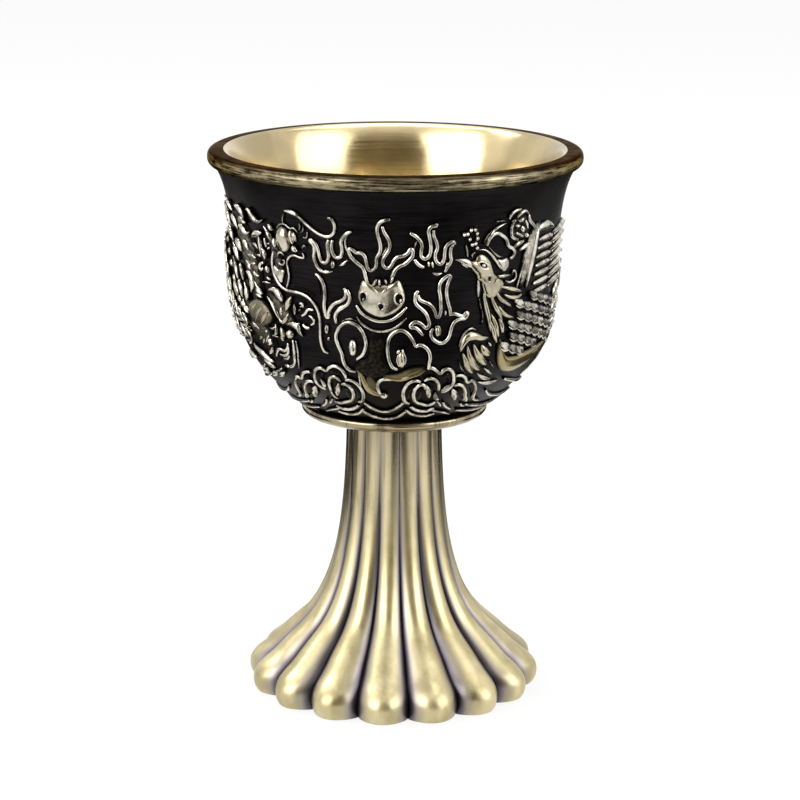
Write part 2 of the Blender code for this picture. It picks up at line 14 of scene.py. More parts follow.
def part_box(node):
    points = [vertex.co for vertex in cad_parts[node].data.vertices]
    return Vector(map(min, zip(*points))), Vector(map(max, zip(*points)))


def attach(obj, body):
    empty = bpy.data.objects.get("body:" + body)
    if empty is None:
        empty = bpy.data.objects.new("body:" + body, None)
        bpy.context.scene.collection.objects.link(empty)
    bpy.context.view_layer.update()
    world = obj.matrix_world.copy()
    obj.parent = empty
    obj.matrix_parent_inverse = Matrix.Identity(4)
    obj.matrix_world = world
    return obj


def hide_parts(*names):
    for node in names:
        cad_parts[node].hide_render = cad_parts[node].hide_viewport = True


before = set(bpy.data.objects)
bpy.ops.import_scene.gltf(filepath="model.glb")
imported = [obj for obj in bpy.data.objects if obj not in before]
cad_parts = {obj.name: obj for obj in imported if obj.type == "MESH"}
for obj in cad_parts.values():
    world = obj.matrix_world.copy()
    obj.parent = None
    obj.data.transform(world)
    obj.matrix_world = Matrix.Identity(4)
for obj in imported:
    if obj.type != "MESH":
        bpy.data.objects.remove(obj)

MM = 0.001
BODY = "root"
MERGE = 0.002 * MM
SEAT_GAP = 0.3
Sheet = tuple[float, float]
Triple = tuple[float, float, float]
Socket = bpy.types.NodeSocket
log = logging.getLogger("cup")


class Attribute(Enum):
    """Names of the per-vertex values that the finishes read."""

    WORN = "worn"
    GILT = "gilt"
    VALLEY = "valley"


# Finishes


class ShaderSheet:
    """A material's node tree with short calls to fill it."""

    def __init__(self, name: str) -> None:
        """Starts an empty material with a Principled shader.

        Args:
            name: the material's name.
        """
        self.material = bpy.data.materials.new(name)
        self.material.use_nodes = True
        self.tree = self.material.node_tree
        self.shader = self.tree.nodes["Principled BSDF"]

    def add(self, kind: str, **settings: object) -> bpy.types.Node:
        """Adds a node and sets its properties.

        Args:
            kind: Blender's node type.
            **settings: node properties by name.

        Returns:
            The new node.
        """
        node = self.tree.nodes.new(kind)
        for key, value in settings.items():
            setattr(node, key, value)
        return node

    def link(self, source: Socket, target: Socket) -> None:
        """Joins two sockets."""
        self.tree.links.new(source, target)

    def feed(self, slot: Socket, value: object) -> None:
        """Gives a node's input what it works with.

        Args:
            slot: the input.
            value: a socket, a colour or a number.
        """
        if isinstance(value, Socket):
            self.link(value, slot)
        else:
            slot.default_value = (*value, 1.0) if isinstance(value, tuple) else value

    def math(self, operation: str, first: object, second: object = 0.0) -> Socket:
        """Adds a Math node.

        Args:
            operation: Blender's name for the operation.
            first: a socket or a number.
            second: a socket or a number.

        Returns:
            The node's result.
        """
        node = self.add("ShaderNodeMath", operation=operation)
        self.feed(node.inputs[0], first)
        self.feed(node.inputs[1], second)
        return node.outputs[0]

    def blend(self, first: Socket, second: Socket, share: float) -> Socket:
        """Adds up two values, with the first one's share given."""
        rest = self.math("MULTIPLY", second, 1.0 - share)
        return self.math("ADD", self.math("MULTIPLY", first, share), rest)

    def swing(self, noise: Socket, strength: object) -> Socket:
        """How far a noise is from its middle, times a strength."""
        return self.math("MULTIPLY", self.math("SUBTRACT", noise, 0.5), strength)

    def attribute(self, which: Attribute) -> Socket:
        """Reads a per-vertex value."""
        return self.add("ShaderNodeAttribute", attribute_name=which.value).outputs["Fac"]

    def place(self, scale: Triple) -> Socket:
        """Object coordinates, stretched.

        Args:
            scale: how much each axis is multiplied by.

        Returns:
            The stretched coordinates.
        """
        coords = self.add("ShaderNodeTexCoord")
        mapping = self.add("ShaderNodeMapping")
        mapping.inputs["Scale"].default_value = scale
        self.link(coords.outputs["Object"], mapping.inputs["Vector"])
        return mapping.outputs["Vector"]

    def noise(self, vector: Socket, scale: float, detail: float = 4.0,
              roughness: float = 0.55) -> Socket:
        """Adds a noise texture.

        Args:
            vector: where the noise is read.
            scale: how fine it is.
            detail: how many finer layers it has.
            roughness: how strong the finer layers are.

        Returns:
            The noise, from 0 to 1.
        """
        node = self.add("ShaderNodeTexNoise")
        node.inputs["Scale"].default_value = scale
        node.inputs["Detail"].default_value = detail
        node.inputs["Roughness"].default_value = roughness
        self.link(vector, node.inputs["Vector"])
        return node.outputs["Fac"]

    def ramp(self, value: Socket, *stops: tuple[float, Triple]) -> Socket:
        """Adds a colour ramp.

        Args:
            value: what the ramp is read at.
            *stops: positions with their colours.

        Returns:
            The ramp's colour.
        """
        node = self.add("ShaderNodeValToRGB")
        band = node.color_ramp
        while len(band.elements) < len(stops):
            band.elements.new(0.5)
        for element, (position, colour) in zip(band.elements, stops):
            element.position = position
            element.color = (*colour, 1.0)
        self.link(value, node.inputs["Fac"])
        return node.outputs["Color"]

    def grey(self, value: Socket, low: Sheet, high: Sheet) -> Socket:
        """Maps a value to another range, held at both ends.

        Args:
            value: the input.
            low: input and output at the lower end.
            high: input and output at the upper end.

        Returns:
            The mapped value.
        """
        node = self.add("ShaderNodeMapRange", clamp=True)
        names = ("From Min", "From Max", "To Min", "To Max")
        for name, number in zip(names, (low[0], high[0], low[1], high[1])):
            node.inputs[name].default_value = number
        self.link(value, node.inputs["Value"])
        return node.outputs["Result"]

    def mix(self, share: Socket, first: object, second: object) -> Socket:
        """Mixes two colours.

        Args:
            share: how much of the second.
            first: a socket or a colour.
            second: a socket or a colour.

        Returns:
            The mixed colour.
        """
        node = self.add("ShaderNodeMix", data_type="RGBA")
        self.link(share, node.inputs["Factor"])
        for name, value in (("A", first), ("B", second)):
            self.feed(next(s for s in node.inputs if s.name == name and s.type == "RGBA"), value)
        return next(s for s in node.outputs if s.type == "RGBA")

    def bump(self, height: Socket, strength: float, distance: float) -> None:
        """Roughens the surface.

        Args:
            height: the height map.
            strength: how much of it is used.
            distance: the depth of a full step, in metres.
        """
        node = self.add("ShaderNodeBump")
        node.inputs["Strength"].default_value = strength
        node.inputs["Distance"].default_value = distance
        self.link(height, node.inputs["Height"])
        self.link(node.outputs["Normal"], self.shader.inputs["Normal"])

    def set(self, **values: object) -> None:
        """Sets the shader's own sockets.

        Args:
            **values: socket names, with spaces as underscores, and what they get.
        """
        for key, value in values.items():
            self.feed(self.shader.inputs[key.replace("_", " ")], value)


@dataclass(frozen=True)
class PatinaFinish:
    """Blackened casting, with turning streaks round the bowl."""

    dark: Triple = (0.0035, 0.0031, 0.0028)
    grey: Triple = (0.018, 0.0162, 0.0165)
    roughness: float = 0.40

    def build(self) -> bpy.types.Material:
        """Makes the material.

        Returns:
            The material.
        """
        sheet = ShaderSheet("blackened_ground")
        streaks = sheet.noise(sheet.place((220, 220, 5200)), 1.0, 5.0, 0.7)
        cloud = sheet.noise(sheet.place((160, 160, 160)), 1.0, 3.0)
        tone = sheet.blend(streaks, cloud, 0.6)
        sheet.set(
            Base_Color=sheet.ramp(tone, (0.36, self.dark), (0.66, self.grey)),
            Metallic=1.0,
            Roughness=sheet.grey(tone, (0.3, self.roughness - 0.08), (0.7, self.roughness + 0.12)),
        )
        sheet.bump(streaks, 0.25, 0.04 * MM)
        return sheet.material


@dataclass(frozen=True)
class RubbedFinish:
    """Cast relief: black in the corners, rubbed bright on the high places."""

    dark: Triple = (0.006, 0.0055, 0.005)
    silver: Triple = (0.75, 0.71, 0.61)
    gold: Triple = (0.39, 0.32, 0.16)
    tarnish: Triple = (0.10, 0.088, 0.065)

    def build(self) -> bpy.types.Material:
        """Makes the material.

        Returns:
            The material.
        """
        sheet = ShaderSheet("rubbed_relief")
        worn = sheet.attribute(Attribute.WORN)
        speckle = sheet.noise(sheet.place((1, 1, 1)), 2600.0, 4.0, 0.65)
        gilt = sheet.attribute(Attribute.GILT)
        uneven = sheet.grey(gilt, (0.0, 0.7), (1.0, 0.12))
        share = sheet.grey(sheet.math("ADD", worn, sheet.swing(speckle, uneven)), (0.42, 0.0), (0.80, 1.0))
        metal = sheet.mix(gilt, self.silver, self.gold)
        patch = sheet.noise(sheet.place((1, 1, 1)), 620.0, 3.0, 0.6)
        spots = sheet.grey(patch, (0.36, 0.80), (0.56, 0.0))
        bare = sheet.grey(gilt, (0.0, 1.0), (1.0, 0.2))
        metal = sheet.mix(sheet.math("MULTIPLY", spots, bare), metal, self.tarnish)
        sheet.set(
            Base_Color=sheet.mix(share, self.dark, metal),
            Metallic=1.0,
            Roughness=sheet.grey(share, (0.0, 0.46), (1.0, 0.20)),
        )
        sheet.bump(speckle, 0.22, 0.05 * MM)
        return sheet.material


@dataclass(frozen=True)
class LinerFinish:
    """Polished brass, turned on a lathe so that lights draw up and down its wall."""

    colour: Triple = (0.74, 0.60, 0.34)
    roughness: float = 0.20
    anisotropy: float = 0.75

    def build(self) -> bpy.types.Material:
        """Makes the material.

        Returns:
            The material.
        """
        sheet = ShaderSheet("polished_liner")
        marks = sheet.noise(sheet.place((140, 140, 6000)), 1.0, 4.0, 0.6)
        stain = sheet.noise(sheet.place((90, 90, 60)), 1.0, 3.0)
        brown = tuple(0.62 * c for c in self.colour)
        sheet.set(
            Base_Color=sheet.ramp(stain, (0.35, brown), (0.62, self.colour)),
            Metallic=1.0,
            Roughness=sheet.grey(marks, (0.3, self.roughness - 0.05), (0.7, self.roughness + 0.06)),
            Anisotropic=self.anisotropy,
            Anisotropic_Rotation=0.25,
        )
        tangent = sheet.add("ShaderNodeTangent", direction_type="RADIAL", axis="Z")
        sheet.link(tangent.outputs["Tangent"], sheet.shader.inputs["Tangent"])
        sheet.bump(marks, 0.12, 0.03 * MM)
        return sheet.material


@dataclass(frozen=True)
class LipFinish:
    """Brushed bronze-brown brass of the handled lip, darker on its upward faces."""

    colour: Triple = (0.37, 0.31, 0.19)
    edge: Triple = (0.35, 0.27, 0.17)
    tarnish: Triple = (0.022, 0.017, 0.011)

    def build(self) -> bpy.types.Material:
        """Makes the material.

        Returns:
            The material.
        """
        sheet = ShaderSheet("handled_lip")
        brushed = sheet.noise(sheet.place((260, 260, 5200)), 1.0, 5.0, 0.7)
        blotch = sheet.noise(sheet.place((700, 700, 700)), 1.0, 4.0, 0.6)
        tone = sheet.blend(brushed, blotch, 0.75)
        facing = sheet.add("ShaderNodeSeparateXYZ")
        sheet.link(sheet.add("ShaderNodeNewGeometry").outputs["Normal"], facing.inputs[0])
        # Faces that turn upwards are mixed towards the dark colour: the lip is darker towards its top
        worn = sheet.grey(facing.outputs["Z"], (0.30, 0.0), (0.75, 0.85))
        brass = sheet.ramp(tone, (0.43, self.tarnish), (0.57, self.colour))
        sheet.set(
            Base_Color=sheet.mix(worn, brass, self.tarnish),
            Metallic=1.0,
            Roughness=sheet.grey(tone, (0.3, 0.42), (0.7, 0.24)),
            Specular_Tint=self.edge,
        )
        sheet.bump(blotch, 0.25, 0.10 * MM)
        return sheet.material


@dataclass(frozen=True)
class FootFinish:
    """Antique brass, satin on the foot, with patina and painted shade between the flutes, polished and smoky
    up the stem, with a painted collar shadow at its top.
    """

    crest: Triple = (0.68, 0.59, 0.345)
    olive: Triple = (0.47, 0.40, 0.215)
    # Valley and flank colours: patina in the flutes, with painted shade on it
    valley: Triple = (0.040, 0.034, 0.040)
    flank_shade_and_patina: Triple = (0.235, 0.21, 0.235)
    stem: Triple = (0.70, 0.60, 0.395)
    # Colour of the smoky streaks up the stem, and of the painted shadow under the collar
    smoke_and_collar_shadow: Triple = (0.115, 0.09, 0.055)
    full_height: float = 0.034
    stem_from: float = 0.53
    stem_to: float = 0.97
    # Share of the full height where the painted collar shadow begins
    collar_shadow_from: float = 0.80
    unevenness: float = 0.35

    def build(self) -> bpy.types.Material:
        """Makes the material.

        Returns:
            The material.
        """
        sheet = ShaderSheet("antique_foot")
        valley = sheet.attribute(Attribute.VALLEY)
        blotch = sheet.noise(sheet.place((300, 300, 130)), 1.0, 4.0, 0.6)
        grain = sheet.noise(sheet.place((1500, 1500, 1500)), 1.0, 3.0, 0.6)
        brass = sheet.ramp(blotch, (0.36, self.olive), (0.60, self.crest))
        split = sheet.add("ShaderNodeSeparateXYZ")
        sheet.link(sheet.place((1, 1, 1)), split.inputs[0])
        rise = sheet.math("DIVIDE", split.outputs["Z"], self.full_height)
        height = sheet.grey(rise, (self.stem_from, 0.0), (self.stem_to, 0.85))
        streak = sheet.noise(sheet.place((520, 520, 22)), 1.0, 3.0, 0.6)
        brass = sheet.mix(height, brass, sheet.ramp(streak, (0.37, self.smoke_and_collar_shadow), (0.51, self.stem)))
        # Painted shadow of the collar: the stem is darkened towards its top
        top = sheet.grey(rise, (self.collar_shadow_from, 0.0), (1.0, 0.55))
        brass = sheet.mix(top, brass, self.smoke_and_collar_shadow)
        # The flanks and bottoms of the flutes darken: patina with painted shade, fading up the stem
        uneven = sheet.math("ADD", valley, sheet.swing(blotch, self.unevenness))
        fade = sheet.grey(height, (0.0, 1.0), (0.85, 0.22))
        flank_shade_and_patina = sheet.math("MULTIPLY", sheet.grey(uneven, (0.18, 0.0), (0.80, 1.0)), fade)
        bottom = sheet.math("MULTIPLY", sheet.grey(valley, (0.60, 0.0), (0.96, 0.95)), fade)
        shaded = sheet.mix(flank_shade_and_patina, brass, self.flank_shade_and_patina)
        polish = sheet.grey(height, (0.0, 0.37), (0.85, 0.17))
        worn = sheet.swing(streak, self.unevenness)
        sheet.set(
            Base_Color=sheet.mix(bottom, shaded, self.valley),
            Metallic=1.0,
            Roughness=sheet.math("ADD", polish, worn),
        )
        sheet.bump(grain, 0.10, 0.04 * MM)
        return sheet.material


@dataclass(frozen=True)
class PlainFinish:
    """A finish of one metal or resin with fine grain, for the pieces inside the foot."""

    name: str
    colour: Triple
    metallic: float
    roughness: float

    def build(self) -> bpy.types.Material:
        """Makes the material.

        Returns:
            The material.
        """
        sheet = ShaderSheet(self.name)
        grain = sheet.noise(sheet.place((900, 900, 900)), 1.0, 4.0)
        dark = tuple(0.7 * c for c in self.colour)
        sheet.set(
            Base_Color=sheet.ramp(grain, (0.35, dark), (0.65, self.colour)),
            Metallic=self.metallic,
            Roughness=sheet.grey(grain, (0.3, self.roughness + 0.08), (0.7, self.roughness - 0.06)),
        )
        sheet.bump(grain, 0.1, 0.03 * MM)
        return sheet.material


# Shapes


def bezier(start: Vector, pull_start: Vector, pull_end: Vector, end: Vector, steps: int) -> list[Vector]:
    """Points along a cubic curve.

    Args:
        start: first point.
        pull_start: handle of the first point.
        pull_end: handle of the last point.
        end: last point.
        steps: how many stretches it has.

    Returns:
        The points, both ends included.
    """
    points = []
    for i in range(steps + 1):
        t = i / steps
        s = 1.0 - t
        points.append(s**3 * start + 3 * s * s * t * pull_start + 3 * s * t * t * pull_end + t**3 * end)
    return points


def heading(angle: float) -> Vector:
    """A unit step in (radius, height) that leans outwards from the vertical by the angle."""
    return Vector((math.sin(angle), math.cos(angle)))


def inset(points: list[Vector], distance: float) -> list[Vector]:
    """Moves a rising curve towards the axis, square to itself.

    Args:
        points: the curve.
        distance: how far it moves.

    Returns:
        The moved curve.
    """
    moved = []
    for i, point in enumerate(points):
        along = (points[min(i + 1, len(points) - 1)] - points[max(i - 1, 0)]).normalized()
        moved.append(point + distance * Vector((-along.y, along.x)))
    return moved


def spun(name: str, profile: list[Vector], steps: int, closed: bool) -> bpy.types.Object:
    """Turns a profile in millimetres round the stem's axis.

    Args:
        name: the piece's name.
        profile: (radius, height) points.
        steps: stretches round the axis.
        closed: whether the profile's ends join.

    Returns:
        The new object, in the scene.
    """
    made = bmesh.new()
    verts = [made.verts.new((MM * p.x, 0.0, MM * p.y)) for p in profile]
    pairs = list(zip(verts, verts[1:]))
    if closed:
        pairs.append((verts[-1], verts[0]))
    edges = [made.edges.new(pair) for pair in pairs]
    bmesh.ops.spin(
        made, geom=verts + edges, axis=(0, 0, 1), cent=(0, 0, 0),
        angle=math.tau, steps=steps, use_merge=True,
    )
    bmesh.ops.remove_doubles(made, verts=made.verts, dist=MERGE)
    bmesh.ops.recalc_face_normals(made, faces=made.faces)
    return finished(name, made)


def finished(name: str, made: bmesh.types.BMesh) -> bpy.types.Object:
    """Puts a bmesh into the scene as a smooth object.

    Args:
        name: the piece's name.
        made: the mesh, freed here.

    Returns:
        The new object.
    """
    mesh = bpy.data.meshes.new(name)
    made.to_mesh(mesh)
    made.free()
    mesh.shade_smooth()
    piece = bpy.data.objects.new(name, mesh)
    bpy.context.scene.collection.objects.link(piece)
    return piece


def dressed(
    piece: bpy.types.Object, material: bpy.types.Material, slot: str, *nodes: str,
) -> bpy.types.Object:
    """Gives a piece its finish and its place in the frame.

    Args:
        piece: the object.
        material: its finish.
        slot: not used.
        *nodes: the CAD nodes that it stands for.

    Returns:
        The same object.
    """
    piece.data.materials.clear()
    piece.data.materials.append(material)
    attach(piece, BODY)
    if nodes:
        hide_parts(*nodes)
    log.info("%s: %d faces", piece.name, len(piece.data.polygons))
    return piece


def top_mm(node: str) -> float:
    """The height of a CAD node's highest point, in millimetres."""
    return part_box(node)[1][2] / MM


def bottom_mm(node: str) -> float:
    """The height of a CAD node's lowest point, in millimetres."""
    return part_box(node)[0][2] / MM


def radius_mm(node: str) -> float:
    """Half a CAD node's depth, in millimetres."""
    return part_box(node)[1][1] / MM


@dataclass
class Bowl:
    """The cast bowl's shape, and the drawing sheet that is wrapped round it.

    A place on the sheet is (along, height) in millimetres: along runs to the right from the front,
    measured at the sheet's own radius, and height is above the table.
    """

    seat_radius: float = 10.0
    seat_z: float = 35.6
    seat_angle: float = math.radians(27)
    seat_pull: float = 5.3
    belly_radius: float = 19.1
    belly_z: float = 47.5
    belly_pull: float = 5.6
    belly_lean: float = math.radians(6.3)
    rim_flare: float = math.radians(34.4)
    rim_pull: float = 4.2
    wall: float = 1.3
    floor: float = 1.2
    boss_radius: float = 3.4
    bore_radius: float = 2.3
    bore_top: float = 34.8
    sheet_radius: float = 19.5
    floor_pull: float = 12.0
    rim_step: float = 0.1
    sharp: float = math.radians(40)
    table_step: float = 0.05
    steps: int = 56
    turns: int = 240
    rim_radius: float = field(default_factory=lambda: radius_mm("bowl_shell"))
    rim_z: float = field(default_factory=lambda: top_mm("bowl_shell"))

    def __post_init__(self) -> None:
        """Works out the ground once, at even heights, for the wrapping."""
        curve = self.lower() + self.upper()[1:]
        self.table: list[Triple] = []
        at = 0
        height = self.seat_z
        while height < self.rim_z:
            while curve[at + 1].y < height:
                at += 1
            low, high = curve[at], curve[at + 1]
            share = (height - low.y) / (high.y - low.y)
            out = Vector((high.y - low.y, low.x - high.x)).normalized()
            self.table.append((low.x + share * (high.x - low.x), out.x, out.y))
            height += self.table_step

    def lower(self) -> list[Vector]:
        """The ground from the seat to the belly.

        Returns:
            The curve.
        """
        seat = Vector((self.seat_radius, self.seat_z))
        belly = Vector((self.belly_radius, self.belly_z))
        leave = seat + self.seat_pull * Vector((math.cos(self.seat_angle), math.sin(self.seat_angle)))
        return bezier(seat, leave, belly - self.belly_pull * heading(self.belly_lean), belly, self.steps)

    def upper(self) -> list[Vector]:
        """The ground from the belly to the flared rim.

        Returns:
            The curve.
        """
        belly = Vector((self.belly_radius, self.belly_z))
        rim = Vector((self.rim_radius, self.rim_z))
        leave = belly + self.belly_pull * heading(self.belly_lean)
        return bezier(belly, leave, rim - self.rim_pull * heading(self.rim_flare), rim, self.steps)

    def lining(self, depth: float, floor_z: float) -> list[Vector]:
        """A curve inside the wall, from the axis at the floor to the flared rim.

        Args:
            depth: how far inside the ground it runs.
            floor_z: its height on the axis.

        Returns:
            The curve.
        """
        upper = inset(self.upper(), depth)
        leave = Vector((self.floor_pull - depth, floor_z))
        arrive = upper[0] - self.belly_pull * heading(self.belly_lean)
        return bezier(Vector((0.0, floor_z)), leave, arrive, upper[0], self.steps)[:-1] + upper

    def wrap(self, along: float, height: float, lift: float) -> Vector:
        """A place on the drawing sheet, in the scene's metres.

        Args:
            along: millimetres to the right of the front.
            height: millimetres above the table.
            lift: millimetres out of the ground.

        Returns:
            The point.
        """
        spot = (height - self.seat_z) / self.table_step
        low = min(max(int(spot), 0), len(self.table) - 2)
        share = spot - low
        radius, out, up = (a + share * (b - a) for a, b in zip(self.table[low], self.table[low + 1]))
        turn = along / self.sheet_radius
        reach = radius + lift * out
        return MM * Vector((reach * math.sin(turn), -reach * math.cos(turn), height + lift * up))

    def lift_of(self, point: Vector) -> float:
        """How far a point lies out of the ground, in millimetres.

        Args:
            point: a point in metres.

        Returns:
            The distance along the ground's normal.
        """
        height = point.z / MM
        low = min(max(int((height - self.seat_z) / self.table_step), 0), len(self.table) - 1)
        radius, out, _ = self.table[low]
        return (math.hypot(point.x, point.y) / MM - radius) * out

    def build(self, finish: PatinaFinish) -> bpy.types.Object:
        """Makes the bowl's shell.

        Args:
            finish: its surface.

        Returns:
            The piece.
        """
        lining = [p for p in self.lining(self.wall, self.seat_z + self.floor) if p.y < self.rim_z]
        corner = Vector((lining[-1].x + self.rim_step, self.rim_z))
        ground = self.lower()[:-1] + self.upper()
        boss_z = bottom_mm("bowl_shell")
        boss = [
            Vector((self.boss_radius, self.seat_z)),
            Vector((self.boss_radius, boss_z)),
            Vector((self.bore_radius, boss_z)),
            Vector((self.bore_radius, self.bore_top)),
            Vector((0.0, self.bore_top)),
        ]
        piece = spun("bowl_ground", lining + [corner] + ground[::-1] + boss, self.turns, closed=False)
        piece.data.set_sharp_from_angle(angle=self.sharp)
        return dressed(piece, finish.build(), "dark_bronze", "bowl_shell")


@dataclass
class Liner:
    """The spun liner with its beaded lip."""

    bowl: Bowl
    wall: float = 0.7
    gap: float = SEAT_GAP
    bend: float = 0.9
    lip_seat: float = 0.05
    bead_square: float = 0.82
    bead_steps: int = 20
    bend_steps: int = 10
    lip_width: float = 1.9
    lip_skirt: float = 0.2
    nick_reach: float = 0.8
    sharp: float = math.radians(60)
    turns: int = 240
    lip_radius: float = field(default_factory=lambda: radius_mm("liner_cup"))
    floor_z: float = field(default_factory=lambda: bottom_mm("liner_cup"))
    # Each nick's place round the lip in degrees, its depth, and its width in degrees
    nicks: tuple[Triple, ...] = ((-19.0, 0.18, 1.1), (-12.5, 0.10, 0.7), (22.0, 0.08, 1.6))

    def build(self, liner_finish: LinerFinish, lip_finish: LipFinish) -> bpy.types.Object:
        """Makes the liner.

        Args:
            liner_finish: the surface inside.
            lip_finish: the surface of the lip.

        Returns:
            The piece.
        """
        depth = self.bowl.wall + self.gap
        inner = self.bowl.lining(depth + self.wall, self.floor_z + self.wall)
        lip_bottom = self.bowl.rim_z + self.lip_seat
        bead_radius = (top_mm("liner_cup") - lip_bottom) / 2
        bead = Vector((self.lip_radius - bead_radius, lip_bottom + bead_radius))
        top = bead + Vector((0.0, bead_radius))
        leave = inner[-1] + self.bend * heading(self.bowl.rim_flare)
        out = bezier(inner[-1], leave, top - Vector((self.bend, 0.0)), top, self.bend_steps)
        lip = []
        for i in range(1, self.bead_steps + 1):
            turn = math.pi / 2 - math.pi * i / self.bead_steps
            step = Vector((self.squared(math.cos(turn)), self.squared(math.sin(turn))))
            lip.append(bead + bead_radius * step)
        outer = [p for p in self.bowl.lining(depth, self.floor_z) if p.y < lip_bottom]
        corner = Vector((outer[-1].x, lip_bottom))
        profile = inner[:-1] + out[:-1] + [top] + lip + [corner] + outer[::-1]
        piece = spun("liner_and_lip", profile, self.turns, closed=False)
        piece.data.set_sharp_from_angle(angle=self.sharp)
        dressed(piece, liner_finish.build(), "bright_brass", "liner_cup")
        piece.data.materials.append(lip_finish.build())
        lip_inside = MM * (self.lip_radius - self.lip_width)
        lip_from = MM * (self.bowl.rim_z - self.lip_skirt)
        for face in piece.data.polygons:
            centre = face.center
            if centre.z > lip_from and math.hypot(centre.x, centre.y) > lip_inside:
                face.material_index = 1
        self.nick(piece)
        return piece

    def squared(self, share: float) -> float:
        """A sine or cosine, pushed outwards to flatten the bead's sides."""
        return math.copysign(abs(share) ** self.bead_square, share)

    def nick(self, piece: bpy.types.Object) -> None:
        """Presses the small dents into the outside of the lip.

        Args:
            piece: the liner.
        """
        for vert in piece.data.vertices:
            radius = math.hypot(vert.co.x, vert.co.y)
            if radius < MM * (self.lip_radius - self.nick_reach) or vert.co.z < MM * self.bowl.rim_z:
                continue
            angle = math.degrees(math.atan2(vert.co.x, -vert.co.y))
            for centre, depth, width in self.nicks:
                share = math.exp(-(((angle - centre) / width) ** 2))
                vert.co.x -= MM * depth * share * vert.co.x / radius
                vert.co.y -= MM * depth * share * vert.co.y / radius


@dataclass
class Collar:
    """The dished ring between the bowl and the stem."""

    hole_radius: float = 3.7
    foot_radius: float = 9.0
    dish_radius: float = 10.0
    rim_width: float = 0.5
    rim_round: float = 0.2
    side_pull: float = 0.6
    under_pull: Sheet = (1.0, 0.1)
    web: float = 1.0
    dip: float = 0.28
    under_steps: int = 14
    brim_steps: int = 6
    sharp: float = math.radians(50)
    turns: int = 160
    radius: float = field(default_factory=lambda: radius_mm("seat_collar"))
    low: float = field(default_factory=lambda: bottom_mm("seat_collar"))
    high: float = field(default_factory=lambda: top_mm("seat_collar"))

    def build(self, finish: FootFinish) -> bpy.types.Object:
        """Makes the collar.

        Args:
            finish: its surface.

        Returns:
            The piece.
        """
        low = self.low - self.dip
        dish = low + self.web
        inwards, upwards = self.under_pull
        under = bezier(
            Vector((self.radius, self.high - self.rim_width)),
            Vector((self.radius, low + self.side_pull)),
            Vector((self.radius - inwards, low + upwards)),
            Vector((self.foot_radius, low)),
            self.under_steps,
        )
        brim = bezier(
            Vector((self.radius - self.rim_width, self.high)),
            Vector((self.radius - self.rim_round, self.high)),
            Vector((self.radius, self.high - self.rim_round)),
            under[0],
            self.brim_steps,
        )
        profile = [Vector((self.hole_radius, dish)), Vector((self.dish_radius, dish))] + brim[:-1] + under
        profile.append(Vector((self.hole_radius, low)))
        piece = spun("dished_collar", profile, self.turns, closed=True)
        piece.data.set_sharp_from_angle(angle=self.sharp)
        return dressed(piece, finish.build(), "antique_brass", "seat_collar")


